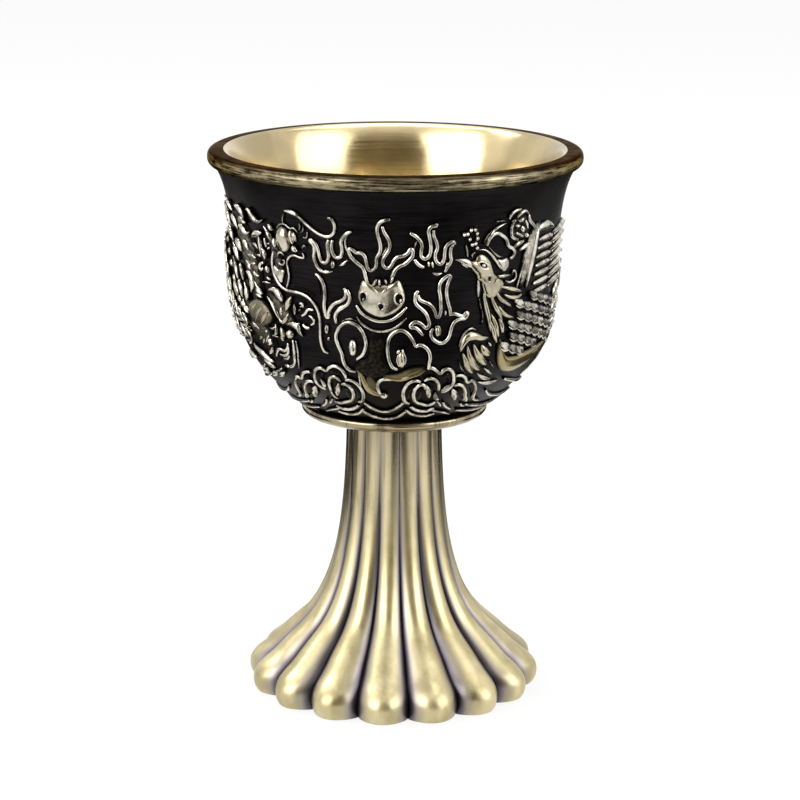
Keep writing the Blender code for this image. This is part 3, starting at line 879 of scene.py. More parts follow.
@dataclass
class Foot:
    """The hollow fluted foot and stem."""

    edge_tuck: float = 0.45
    edge_leave: float = 0.5
    edge_drop: float = 0.7
    edge_arrive: Sheet = (0.25, 0.4)
    edge_height: float = 4.4
    shoulder_radius: float = 15.6
    swell_height: float = 3.0
    widest_height: float = 1.6
    flare_length: float = 6.9
    belly: float = 0.55
    belly_height: float = 6.4
    belly_spread: float = 2.2
    stem_radius: float = 5.8
    flutes: int = 16
    depth_foot: float = 2.2
    depth_stem: float = 0.08
    fade: float = 0.75
    roundness: float = 0.80
    wall: float = 1.3
    recess_radius: float = field(default_factory=lambda: radius_mm("base_plate") + SEAT_GAP)
    recess: float = 1.7
    ledge: float = 1.2
    bore_radius: float = 4.3
    web_low: float = 29.0
    web_high: float = 31.2
    screw_hole: float = 2.3
    socket_radius: float = 3.7
    land: float = 0.12
    hidden_valley: float = 0.5
    face_slack: float = 0.2
    hollow_slack: float = 0.5
    sharp: float = math.radians(50)
    rows: int = 56
    edge_rows: int = 18
    tuck_rows: int = 8
    hollow_rows: int = 24
    segments: int = 22
    radius: float = field(default_factory=lambda: radius_mm("fluted_foot"))
    height: float = field(default_factory=lambda: top_mm("fluted_foot"))

    def crest(self, height: float) -> float:
        """The radius over the flute crests on the flare.

        Args:
            height: the height above the table.

        Returns:
            The radius.
        """
        span = math.exp(-(self.height - self.edge_height) / self.flare_length)
        share = math.exp(-(height - self.edge_height) / self.flare_length)
        flare = (self.shoulder_radius - self.stem_radius) * (share - span) / (1.0 - span)
        belly = self.belly * math.exp(-(((height - self.belly_height) / self.belly_spread) ** 2))
        return self.stem_radius + flare + belly

    def depth(self, radius: float) -> float:
        """How deep the valleys lie where the crests have that radius."""
        share = max(0.0, radius - self.stem_radius) / (self.radius - self.stem_radius)
        return self.depth_stem + (self.depth_foot - self.depth_stem) * share**self.fade

    def outside(self) -> list[Vector]:
        """The crest line from the stem's top down to the table.

        Returns:
            The curve.
        """
        flare = []
        for i in range(self.rows + 1):
            height = self.height - (self.height - self.edge_height) * math.sin(math.pi / 2 * i / self.rows)
            flare.append(Vector((self.crest(height), height)))
        slope = (flare[-1] - flare[-2]).normalized()
        leave = flare[-1] + self.edge_leave * (self.edge_height - self.swell_height) * slope / abs(slope.y)
        swell = Vector((self.radius, self.swell_height))
        widest = Vector((self.radius, self.widest_height))
        foot_edge = Vector((self.radius - self.edge_tuck, self.land))
        edge = bezier(flare[-1], leave, swell, widest, self.edge_rows)
        drop = widest - Vector((0.0, self.edge_drop))
        arrive = foot_edge + Vector(self.edge_arrive)
        edge += bezier(widest, drop, arrive, foot_edge, self.tuck_rows)[1:]
        return flare + edge[1:]

    def inside(self) -> list[Vector]:
        """The hollow, from the table up through the screw's web to the socket.

        Returns:
            The curve.
        """
        ledge = self.recess_radius - self.ledge
        hollow = [Vector((self.recess_radius, 0.0)), Vector((self.recess_radius, self.recess))]
        for i in range(self.hollow_rows + 1):
            rise = math.cos(math.pi / 2 * i / self.hollow_rows)
            height = self.web_low + (self.recess - self.web_low) * rise
            crest = self.crest(max(height, self.edge_height))
            clear = crest - self.depth(crest) - self.wall
            hollow.append(Vector((min(max(clear, self.bore_radius), ledge), height)))
        hollow += [
            Vector((self.screw_hole, self.web_low)),
            Vector((self.screw_hole, self.web_high)),
            Vector((self.socket_radius, self.web_high)),
            Vector((self.socket_radius, self.height)),
        ]
        return hollow

    def build(self, finish: FootFinish) -> bpy.types.Object:
        """Makes the foot, spun plain and then pressed in between the crests.

        Args:
            finish: its surface.

        Returns:
            The piece.
        """
        outside = self.outside()
        sole = [Vector((outside[-1].x - self.land, 0.0))]
        profile = outside + sole + self.inside()
        piece = spun("fluted_foot_and_stem", profile, self.flutes * self.segments, closed=True)
        valley = piece.data.attributes.new(Attribute.VALLEY.value, "FLOAT", "POINT")
        for vert in piece.data.vertices:
            radius = math.hypot(vert.co.x, vert.co.y) / MM
            height = vert.co.z / MM
            if not self.is_outside(radius, height):
                valley.data[vert.index].value = self.hidden_valley
                continue
            angle = math.atan2(vert.co.x, -vert.co.y)
            wave = abs(math.cos(self.flutes / 2 * angle))
            pressed = radius - self.depth(radius) * (1.0 - wave**self.roundness)
            vert.co.x *= pressed / radius
            vert.co.y *= pressed / radius
            valley.data[vert.index].value = 1.0 - wave
        piece.data.update()
        piece.data.set_sharp_from_angle(angle=self.sharp)
        return dressed(piece, finish.build(), "antique_brass", "fluted_foot")

    def is_outside(self, radius: float, height: float) -> bool:
        """Whether a spun point is on the outer face, not in the hollow.

        Args:
            radius: its distance from the axis.
            height: its height above the table.

        Returns:
            True on the outer face.
        """
        if height >= self.edge_height:
            return radius > self.crest(height) - self.face_slack
        hollow = self.shoulder_radius - self.depth(self.shoulder_radius) - self.wall
        over_recess = height > self.recess or radius > self.recess_radius + self.face_slack
        return over_recess and radius > hollow + self.hollow_slack


# Relief, drawn on the bowl's sheet


@dataclass(frozen=True)
class Wire:
    """A raised line along a few places of the sheet."""

    points: tuple[Sheet, ...]
    width: float = 0.50
    lift: float = 0.17
    start: float = 0.75
    end: float = 0.75


@dataclass(frozen=True)
class Leaf:
    """A domed blade along a spine: a feather, claw, petal or band."""

    points: tuple[Sheet, ...]
    width: float = 0.7
    height: float = 0.45
    start: float = 0.5
    end: float = 0.5
    lift: float = 0.0
    gilt: float = 0.0
    dull: float = 0.0


@dataclass(frozen=True)
class Dome:
    """A raised field with an outline of its own, seen from a centre inside it."""

    centre: Sheet
    outline: tuple[Sheet, ...]
    height: float = 0.7
    lift: float = 0.0
    gilt: float = 0.0
    dull: float = 0.0


@dataclass(frozen=True)
class Bead:
    """An oval grain."""

    centre: Sheet
    length: float = 1.0
    width: float = 0.6
    turn: float = 90.0
    height: float = 0.45
    lift: float = 0.0
    gilt: float = 0.0
    dull: float = 0.0


Stroke = Wire | Leaf | Dome | Bead


def spline(points: tuple[Sheet, ...], share: float, closed: bool = False) -> tuple[Vector, Vector]:
    """A smooth curve through places of the sheet.

    Args:
        points: the places.
        share: how far along, from 0 to 1.
        closed: whether it runs back to its start.

    Returns:
        The place and the direction there.
    """
    count = len(points)
    stretches = count if closed else count - 1
    spot = min(max(share, 0.0), 1.0) * stretches
    at = min(int(spot), stretches - 1)
    t = spot - at

    def pick(i: int) -> Vector:
        """A place by number, wrapped or held at the ends."""
        return Vector(points[i % count] if closed else points[min(max(i, 0), count - 1)])

    a, b, c, d = pick(at - 1), pick(at), pick(at + 1), pick(at + 2)
    slope = c - a
    bow = 2 * a - 5 * b + 4 * c - d
    twist = 3 * b - a - 3 * c + d
    place = 0.5 * (2 * b + slope * t + bow * t * t + twist * t**3)
    along = 0.5 * (slope + 2 * bow * t + 3 * twist * t * t)
    return place, along.normalized() if along.length > 1e-6 else Vector((1.0, 0.0))


def places(*points: Vector) -> tuple[Sheet, ...]:
    """Vectors as places of the sheet."""
    return tuple(tuple(point) for point in points)


def ray(degrees: float) -> Vector:
    """A unit step on the sheet, turned from the right towards the rim."""
    return Vector((math.cos(math.radians(degrees)), math.sin(math.radians(degrees))))


def across(along: Vector) -> Vector:
    """The direction a quarter turn from another."""
    return Vector((-along.y, along.x))


def moved(strokes: Iterable[Stroke], step: float, side: float = 1.0) -> list[Stroke]:
    """The same strokes further round the sheet, mirrored about the front first where asked.

    Args:
        strokes: what is repeated.
        step: how far round.
        side: 1 as drawn and -1 mirrored.

    Returns:
        The strokes.
    """

    def put(*points: Sheet) -> tuple[Sheet, ...]:
        """Where the places come to lie."""
        return tuple((side * along + step, height) for along, height in points)

    fresh: list[Stroke] = []
    for stroke in strokes:
        if isinstance(stroke, (Wire, Leaf)):
            fresh.append(replace(stroke, points=put(*stroke.points)))
        elif isinstance(stroke, Dome):
            fresh.append(replace(stroke, centre=put(stroke.centre)[0], outline=put(*stroke.outline)))
        else:
            fresh.append(replace(stroke, centre=put(stroke.centre)[0]))
    return fresh


def tile(
    root: Vector, along: Vector, length: float, width: float, lift: float, dull: float,
) -> list[Stroke]:
    """A scale: a low blade with a rib and a raised rim round its tip.

    Args:
        root: where it grows from.
        along: the direction that its tip points in.
        length: its length.
        width: its width.
        lift: how high it stands.
        dull: how dark its blade is between the rims.

    Returns:
        The strokes.
    """
    side = 0.5 * width * across(along)

    def at(share: float, aside: float = 0.0) -> Vector:
        """A place by its shares of the length and of half the width."""
        return root + share * length * along + aside * side

    rim = places(at(0.30, 1.0), at(0.70, 0.72), at(1.0), at(0.70, -0.72), at(0.30, -1.0))
    return [
        Leaf(places(at(0.0), at(0.5), at(0.95)), 0.95 * width, 0.30, 0.8, 0.5, lift=lift, dull=dull),
        Wire(rim, 0.22 + 0.2 * dull, lift + 0.2, 0.5, 0.5),
        Leaf(places(at(0.1), at(0.4), at(0.7)), 0.26, 0.16, lift=lift + 0.22),
    ]


def feather(
    root: Vector, along: Vector, length: float, width: float, lift: float, dull: float,
) -> list[Stroke]:
    """A small pointed feather with a pale lower edge.

    Args:
        root: where it grows from.
        along: the direction that its tip points in.
        length: its length.
        width: its width.
        lift: how high it stands.
        dull: how dark its blade is.

    Returns:
        The strokes.
    """
    side = 0.42 * width * across(along)

    def at(share: float, aside: float = 0.0) -> Vector:
        """A place by its shares of the length and of the edge's distance."""
        return root + share * length * along + aside * side

    return [
        Leaf(places(at(0.0), at(0.45), at(0.8), at(1.0)), width, 0.36, 0.7, 0.15, lift=lift, dull=dull),
        Leaf(places(at(0.2, -1.0), at(0.6, -1.0), at(1.02)), 0.3, 0.3, 0.5, 0.6, lift=lift + 0.16),
    ]


def petal(width: float, *points: Sheet) -> Leaf:
    """The low body that a petal's rim stands on."""
    return Leaf(points, width, 0.32, 0.8, 0.8, dull=0.65)


def curl(place: Sheet) -> list[Stroke]:
    """A small cloud curl that fills the ground.

    Args:
        place: its middle.

    Returns:
        The strokes.
    """

    def put(*steps: Sheet) -> tuple[Sheet, ...]:
        """Steps from the middle as places."""
        return places(*(Vector(place) + Vector(step) for step in steps))

    scroll = put((-1.9, -0.5), (-1.3, 0.5), (-0.2, 0.8), (0.7, 0.3), (0.6, -0.5), (-0.1, -0.6), (-0.3, -0.1))
    wisp = put((0.5, 0.6), (1.3, 0.8), (2.0, 0.3), (2.7, 0.5))
    puff = put((-1.4, -0.9), (-0.3, -1.25), (1.0, -0.9))
    return [Wire(scroll), Wire(wisp, 0.4), Leaf(puff, 0.5, 0.4)]


class ReliefCarver:
    """Raises strokes on the bowl and joins those of one motif into one piece."""

    sunk: float = 0.25
    wire_wear_from: float = 0.18
    wire_wear_rise: float = 0.19
    wear_share: float = 0.8
    crown: float = 1.7
    outline_steps: int = 240
    leaf_around: int = 12
    dome_mesh: tuple[int, int] = (64, 20)
    bead_mesh: tuple[int, int] = (20, 10)

    def __init__(self, bowl: Bowl, material: bpy.types.Material) -> None:
        """Keeps the ground and the finish.

        Args:
            bowl: what the relief stands on.
            material: the rubbed finish.
        """
        self.bowl = bowl
        self.material = material

    def carve(self, name: str, strokes: list[Stroke]) -> bpy.types.Object:
        """Makes one motif.

        Args:
            name: the piece's name.
            strokes: what it is drawn with.

        Returns:
            The piece.
        """
        made = bmesh.new()
        self.wires(made, [s for s in strokes if isinstance(s, Wire)])
        self.wear(made, self.wire_wear_from, self.wire_wear_rise, 0.0, 0.0)
        shapers = {Leaf: self.leaf, Dome: self.dome, Bead: self.bead}
        spare = bpy.data.meshes.new("spare")
        for stroke in strokes:
            if isinstance(stroke, Wire):
                continue
            small = bmesh.new()
            shapers[type(stroke)](small, stroke)
            self.wear(small, stroke.lift, self.wear_share * stroke.height, stroke.gilt, stroke.dull)
            small.to_mesh(spare)
            small.free()
            made.from_mesh(spare)
        bpy.data.meshes.remove(spare)
        bmesh.ops.recalc_face_normals(made, faces=made.faces)
        return dressed(finished(name, made), self.material, "dark_bronze")

    def wear(self, made: bmesh.types.BMesh, lift: float, rise: float, gilt: float, dull: float) -> None:
        """Marks how far each point is rubbed bright.

        Args:
            made: the strokes, already on the bowl.
            lift: where their wear begins.
            rise: how much higher it is complete.
            gilt: how golden they are.
            dull: how much of the wear is left out.
        """
        worn = made.verts.layers.float.new(Attribute.WORN.value)
        golden = made.verts.layers.float.new(Attribute.GILT.value)
        for vert in made.verts:
            share = (self.bowl.lift_of(vert.co) - lift) / max(rise, 0.01)
            vert[worn] = min(1.0, share) * (1.0 - dull)
            vert[golden] = gilt

    def wires(self, made: bmesh.types.BMesh, strokes: list[Wire]) -> None:
        """Sweeps every wire of a motif with one bevelled curve.

        Args:
            made: what the wires are added to.
            strokes: the wires.
        """
        drawing = bpy.data.curves.new("wires", "CURVE")
        drawing.dimensions = "3D"
        drawing.bevel_depth = MM
        drawing.bevel_resolution = 2
        drawing.resolution_u = 5
        drawing.use_fill_caps = True
        for stroke in strokes:
            line = drawing.splines.new("BEZIER")
            last = len(stroke.points) - 1
            line.bezier_points.add(last)
            for i, (knot, place) in enumerate(zip(line.bezier_points, stroke.points)):
                knot.co = self.bowl.wrap(*place, stroke.lift)
                knot.handle_left_type = "AUTO"
                knot.handle_right_type = "AUTO"
                taper = stroke.start if i == 0 else stroke.end if i == last else 1.0
                knot.radius = stroke.width / 2 * taper
        holder = bpy.data.objects.new("wires", drawing)
        bpy.context.scene.collection.objects.link(holder)
        bpy.context.view_layer.update()
        swept = bpy.data.meshes.new_from_object(holder.evaluated_get(bpy.context.evaluated_depsgraph_get()))
        made.from_mesh(swept)
        bmesh.ops.remove_doubles(made, verts=made.verts, dist=MERGE)
        bpy.data.objects.remove(holder, do_unlink=True)
        bpy.data.curves.remove(drawing)
        bpy.data.meshes.remove(swept)

    def ball(
        self, made: bmesh.types.BMesh, around: int, along: int, turn: Matrix,
    ) -> list[bmesh.types.BMVert]:
        """Adds a unit ball, made with its poles on the Z axis and then turned."""
        fresh = bmesh.ops.create_uvsphere(made, u_segments=around, v_segments=along, radius=1.0, matrix=turn)
        return fresh["verts"]

    def raised(self, share: float, height: float, lift: float) -> float:
        """The lift of a ball's point: full height above, only just sunk below."""
        return lift + (height * share if share > 0 else self.sunk * share)

    def crowned(self, share: float) -> float:
        """A dome's rise with a broad, nearly level top."""
        return 1.0 - (1.0 - share) ** self.crown if share > 0 else share

    def squash(self, height: float) -> float:
        """How much longer a step along the sheet is than on the ground at a height."""
        spot = int((height - self.bowl.seat_z) / self.bowl.table_step)
        return self.bowl.sheet_radius / self.bowl.table[min(max(spot, 0), len(self.bowl.table) - 1)][0]

    def leaf(self, made: bmesh.types.BMesh, stroke: Leaf) -> None:
        """Bends a flattened ball along a spine.

        Args:
            made: an empty mesh.
            stroke: what is drawn.
        """
        lengthwise = Matrix.Rotation(math.pi / 2, 4, "Y")
        for vert in self.ball(made, self.leaf_around, 6 + 4 * len(stroke.points), lengthwise):
            share = (vert.co.x + 1.0) / 2
            place, along = spline(stroke.points, share)
            ends = stroke.start + (1.0 - stroke.start) * min(1.0, 2 * share)
            ends *= stroke.end + (1.0 - stroke.end) * min(1.0, 2 * (1.0 - share))
            reach = vert.co.y * stroke.width / 2 * ends
            spot = place + reach * Vector((-along.y * self.squash(place.y), along.x))
            vert.co = self.bowl.wrap(*spot, self.raised(vert.co.z, stroke.height, stroke.lift))

    def dome(self, made: bmesh.types.BMesh, stroke: Dome) -> None:
        """Stretches a ball to an outline.

        Args:
            made: an empty mesh.
            stroke: what is drawn.
        """
        centre = Vector(stroke.centre)
        shares = (i / self.outline_steps for i in range(self.outline_steps))
        steps = (spline(stroke.outline, share, closed=True)[0] - centre for share in shares)
        spokes = sorted((math.atan2(step.y, step.x), step.length) for step in steps)
        for vert in self.ball(made, *self.dome_mesh, Matrix()):
            turn = math.atan2(vert.co.y, vert.co.x)
            reach = math.hypot(vert.co.x, vert.co.y) * self.reach(spokes, turn)
            spot = centre + reach * Vector((math.cos(turn), math.sin(turn)))
            vert.co = self.bowl.wrap(*spot, self.raised(self.crowned(vert.co.z), stroke.height, stroke.lift))

    def reach(self, spokes: list[Sheet], turn: float) -> float:
        """The outline's distance in a direction, between its nearest spokes.

        Args:
            spokes: directions with their distances, in order.
            turn: the direction.

        Returns:
            The distance.
        """
        low, high = spokes[-1], spokes[0]
        for before, after in zip(spokes, spokes[1:]):
            if before[0] <= turn <= after[0]:
                low, high = before, after
                break
        width = (high[0] - low[0]) % math.tau
        share = ((turn - low[0]) % math.tau) / width if width > 1e-9 else 0.0
        return low[1] + share * (high[1] - low[1])

    def bead(self, made: bmesh.types.BMesh, stroke: Bead) -> None:
        """Presses a ball to an oval grain.

        Args:
            made: an empty mesh.
            stroke: what is drawn.
        """
        turn = math.radians(stroke.turn)
        squash = self.squash(stroke.centre[1])
        for vert in self.ball(made, *self.bead_mesh, Matrix()):
            along = vert.co.x * stroke.length / 2
            aside = vert.co.y * stroke.width / 2
            spot = (
                stroke.centre[0] + squash * (along * math.cos(turn) - aside * math.sin(turn)),
                stroke.centre[1] + along * math.sin(turn) + aside * math.cos(turn),
            )
            vert.co = self.bowl.wrap(*spot, self.raised(vert.co.z, stroke.height, stroke.lift))


class Motif:
    """A part of the relief that is carved as one piece."""

    drawn: tuple[Stroke, ...] = ()

    def strokes(self) -> list[Stroke]:
        """What the motif is drawn with."""
        return list(self.drawn)


class FlamingPearl(Motif):
    """The pearl at the front, with its pits, its two crescents and the flame over it."""

    drawn = (
        Dome((0.0, 52.4), ((-2.1, 54.7), (-2.55, 53.7), (-2.75, 52.8), (-2.5, 51.8), (-1.9, 51.0),
             (-1.0, 50.45), (0.0, 50.2), (1.0, 50.45), (2.0, 51.1), (2.65, 51.9), (2.8, 52.7), (2.6, 53.6),
             (2.0, 54.8), (1.2, 54.4), (0.0, 54.2), (-1.2, 54.3)), height=0.75, gilt=0.35),
        Wire(((-2.85, 51.6), (-2.3, 50.75), (-1.5, 50.2), (-0.6, 49.85), (0.1, 49.8), (1.0, 49.95),
              (1.9, 50.45), (2.9, 51.5)), width=0.42, lift=0.2),
        Wire(((-2.85, 50.3), (-2.3, 49.5), (-1.5, 48.95), (-0.7, 48.65), (0.1, 48.6), (0.9, 48.75),
              (1.8, 49.2), (2.9, 50.2)), width=0.36, lift=0.15),
        Leaf(((1.1, 50.1), (2.1, 50.65), (2.9, 51.5)), width=0.55, height=0.4, gilt=0.6),
        Wire(((-1.35, 54.0), (-1.7, 54.8), (-1.85, 55.5), (-2.1, 56.1), (-2.6, 56.5), (-3.1, 56.95),
              (-3.5, 57.5), (-3.55, 58.2), (-3.2, 58.1), (-2.8, 57.8), (-2.2, 57.75), (-1.85, 57.4),
              (-1.65, 56.7), (-1.5, 56.0), (-1.2, 55.75), (-0.75, 55.95), (-0.55, 56.5), (-0.5, 57.2),
              (-0.15, 57.9), (-0.05, 58.5), (-0.15, 59.2), (-0.35, 60.0), (-0.4, 60.8), (-0.15, 61.4),
              (0.4, 61.75), (1.0, 61.85))),
        Wire(((0.15, 61.0), (0.35, 60.3), (0.75, 59.6), (0.97, 58.9), (0.85, 58.2), (0.5, 57.6),
              (0.2, 57.0), (0.3, 56.3), (0.7, 56.05), (1.1, 56.35), (1.4, 56.95), (1.85, 57.4), (2.4, 57.5),
              (2.9, 57.8), (3.35, 58.3), (3.5, 57.6), (3.1, 57.0), (2.6, 56.55), (2.0, 56.25), (1.55, 55.8),
              (1.3, 55.2), (1.0, 54.4))),
        Wire(((0.1, 57.5), (0.4, 58.0), (0.6, 58.5)), width=0.3),
        Bead((-0.65, 54.5), 1.0, 0.45, 65, 0.5, 0.45),
        Bead((-0.15, 54.5), 0.9, 0.4, 95, 0.5, 0.45),
        Bead((0.55, 54.6), 0.7, 0.35, 110, 0.45, 0.45),
        Bead((1.2, 54.8), 0.9, 0.4, 70, 0.4, 0.35),
        Leaf(((-0.1, 53.0), (0.3, 53.4), (0.6, 53.9)), 0.4, 0.25, lift=0.55),
        Leaf(((-0.9, 53.9), (-0.5, 53.4), (-0.3, 52.9)), 0.3, 0.2, lift=0.6),
        Bead((0.75, 53.7), 0.6, 0.25, 100, 0.2, 0.6),
    )
    rim_steps: int = 12

    def strokes(self) -> list[Stroke]:
        """What the motif is drawn with.

        Returns:
            The strokes.
        """
        strokes = list(self.drawn)
        strokes += self.pit((-1.95, 52.75), 0.42, 0.62, (0.02, -0.3))
        strokes += self.pit((2.02, 52.6), 0.5, 0.68, (0.15, -0.2))
        strokes += self.pit((0.03, 51.65), 0.36, 0.45, (0.16, -0.35))
        return strokes

    def pit(self, centre: Sheet, half_width: float, half_height: float, glint: Sheet) -> list[Stroke]:
        """A pit: a raised bead painted dark for the hollow's shade and patina, with a raised rim and a grain
        in it.

        Args:
            centre: its place.
            half_width: half its width.
            half_height: half its height.
            glint: where the grain sits, from the centre.

        Returns:
            The strokes.
        """
        rim = []
        for i in range(self.rim_steps + 1):
            turn = math.tau * i / self.rim_steps
            rim.append((centre[0] + half_width * math.cos(turn), centre[1] + half_height * math.sin(turn)))
        return [
            # Dark bead: painted shade of the pit's hollow, over its patina
            Bead(centre, 2 * half_height, 2 * half_width, 90, 0.16, 0.66, dull=1.0),
            Wire(tuple(rim), 0.24, 0.70, 1.0, 1.0),
            Bead((centre[0] + glint[0], centre[1] + glint[1]), 0.5, 0.28, 80, 0.22, 0.74),
        ]


class CloudScroll(Motif):
    """The ruyi cloud under the pearl."""

    drawn = (
        Dome((-0.9, 44.4), ((-1.3, 48.5), (-1.5, 46.3), (-1.9, 45.3), (-2.85, 45.0), (-3.6, 44.0),
             (-2.6, 43.2), (-1.5, 42.7), (-0.4, 42.8), (0.2, 43.0), (1.2, 43.9), (0.7, 44.7), (0.45, 45.9),
             (0.35, 47.2), (0.6, 48.5)), 0.45, gilt=1.0, dull=0.57),
        Leaf(((-1.7, 43.4), (-1.5, 42.3), (-1.15, 41.5), (-0.6, 41.0)),
             1.8, 0.45, 0.9, 0.3, gilt=1.0, dull=0.48),
        Leaf(((-3.4, 44.0), (-2.7, 43.3), (-2.35, 42.3), (-1.9, 41.35), (-1.1, 40.75), (-0.2, 40.6),
              (0.4, 40.85)), 0.95, 0.6, 0.5, 0.3, gilt=1.0, dull=0.2),
        Leaf(((-0.6, 43.3), (1.1, 43.1), (2.4, 43.1), (3.6, 43.6), (4.6, 43.9), (5.5, 44.1)),
             1.35, 0.5, 0.5, 0.9, gilt=1.0, dull=0.42),
        Leaf(((0.0, 43.05), (1.1, 42.8), (2.4, 42.75), (3.5, 43.15), (4.6, 43.4), (5.5, 43.9)),
             0.7, 0.6, 0.4, 0.5, gilt=1.0, dull=0.1),
        Wire(((-3.05, 45.1), (-2.3, 45.7), (-1.95, 46.4), (-1.8, 47.1), (-2.0, 48.0), (-2.5, 48.9),
              (-3.2, 49.4), (-3.9, 49.5), (-4.7, 49.1), (-5.2, 48.4), (-5.4, 47.5), (-5.15, 46.6),
              (-4.8, 45.7), (-4.75, 45.0), (-4.5, 44.2), (-4.0, 43.7), (-3.3, 43.5))),
        Wire(((-4.7, 49.5), (-4.1, 49.85), (-3.4, 49.95), (-2.8, 49.7)), 0.26),
        Wire(((1.9, 43.95), (1.3, 44.3), (0.95, 45.0), (0.75, 46.0), (0.75, 47.0), (0.95, 47.9),
              (1.5, 48.5), (2.3, 48.75), (3.0, 48.4), (3.6, 47.6), (4.0, 46.75))),
        Wire(((4.0, 46.75), (4.4, 46.95), (4.9, 46.85), (5.5, 46.3), (5.8, 45.4), (5.75, 44.6),
              (5.7, 43.9))),
        Wire(((-2.95, 43.5), (-2.9, 42.6), (-2.95, 41.8), (-2.9, 41.2)), 0.3),
        Wire(((3.2, 43.0), (2.0, 42.75), (0.8, 42.7), (-0.1, 42.6), (-0.65, 41.9), (-0.6, 41.1),
              (-0.3, 40.5), (0.15, 40.2), (0.45, 40.6))),
        Bead((-3.4, 46.5), 2.2, 1.05, 88, 0.75),
        Bead((2.35, 45.2), 2.3, 1.05, 95, 0.75, gilt=0.4),
        Wire(((1.95, 45.9), (1.85, 45.2), (2.1, 44.5)), 0.22, 0.45),
        Wire(((2.55, 46.2), (2.85, 45.5), (2.75, 44.7)), 0.22, 0.45),
        Bead((1.95, 46.25), 0.6, 0.4, 60, 0.3, 0.3),
        Bead((2.5, 46.3), 0.6, 0.35, 100, 0.3, 0.3),
    )


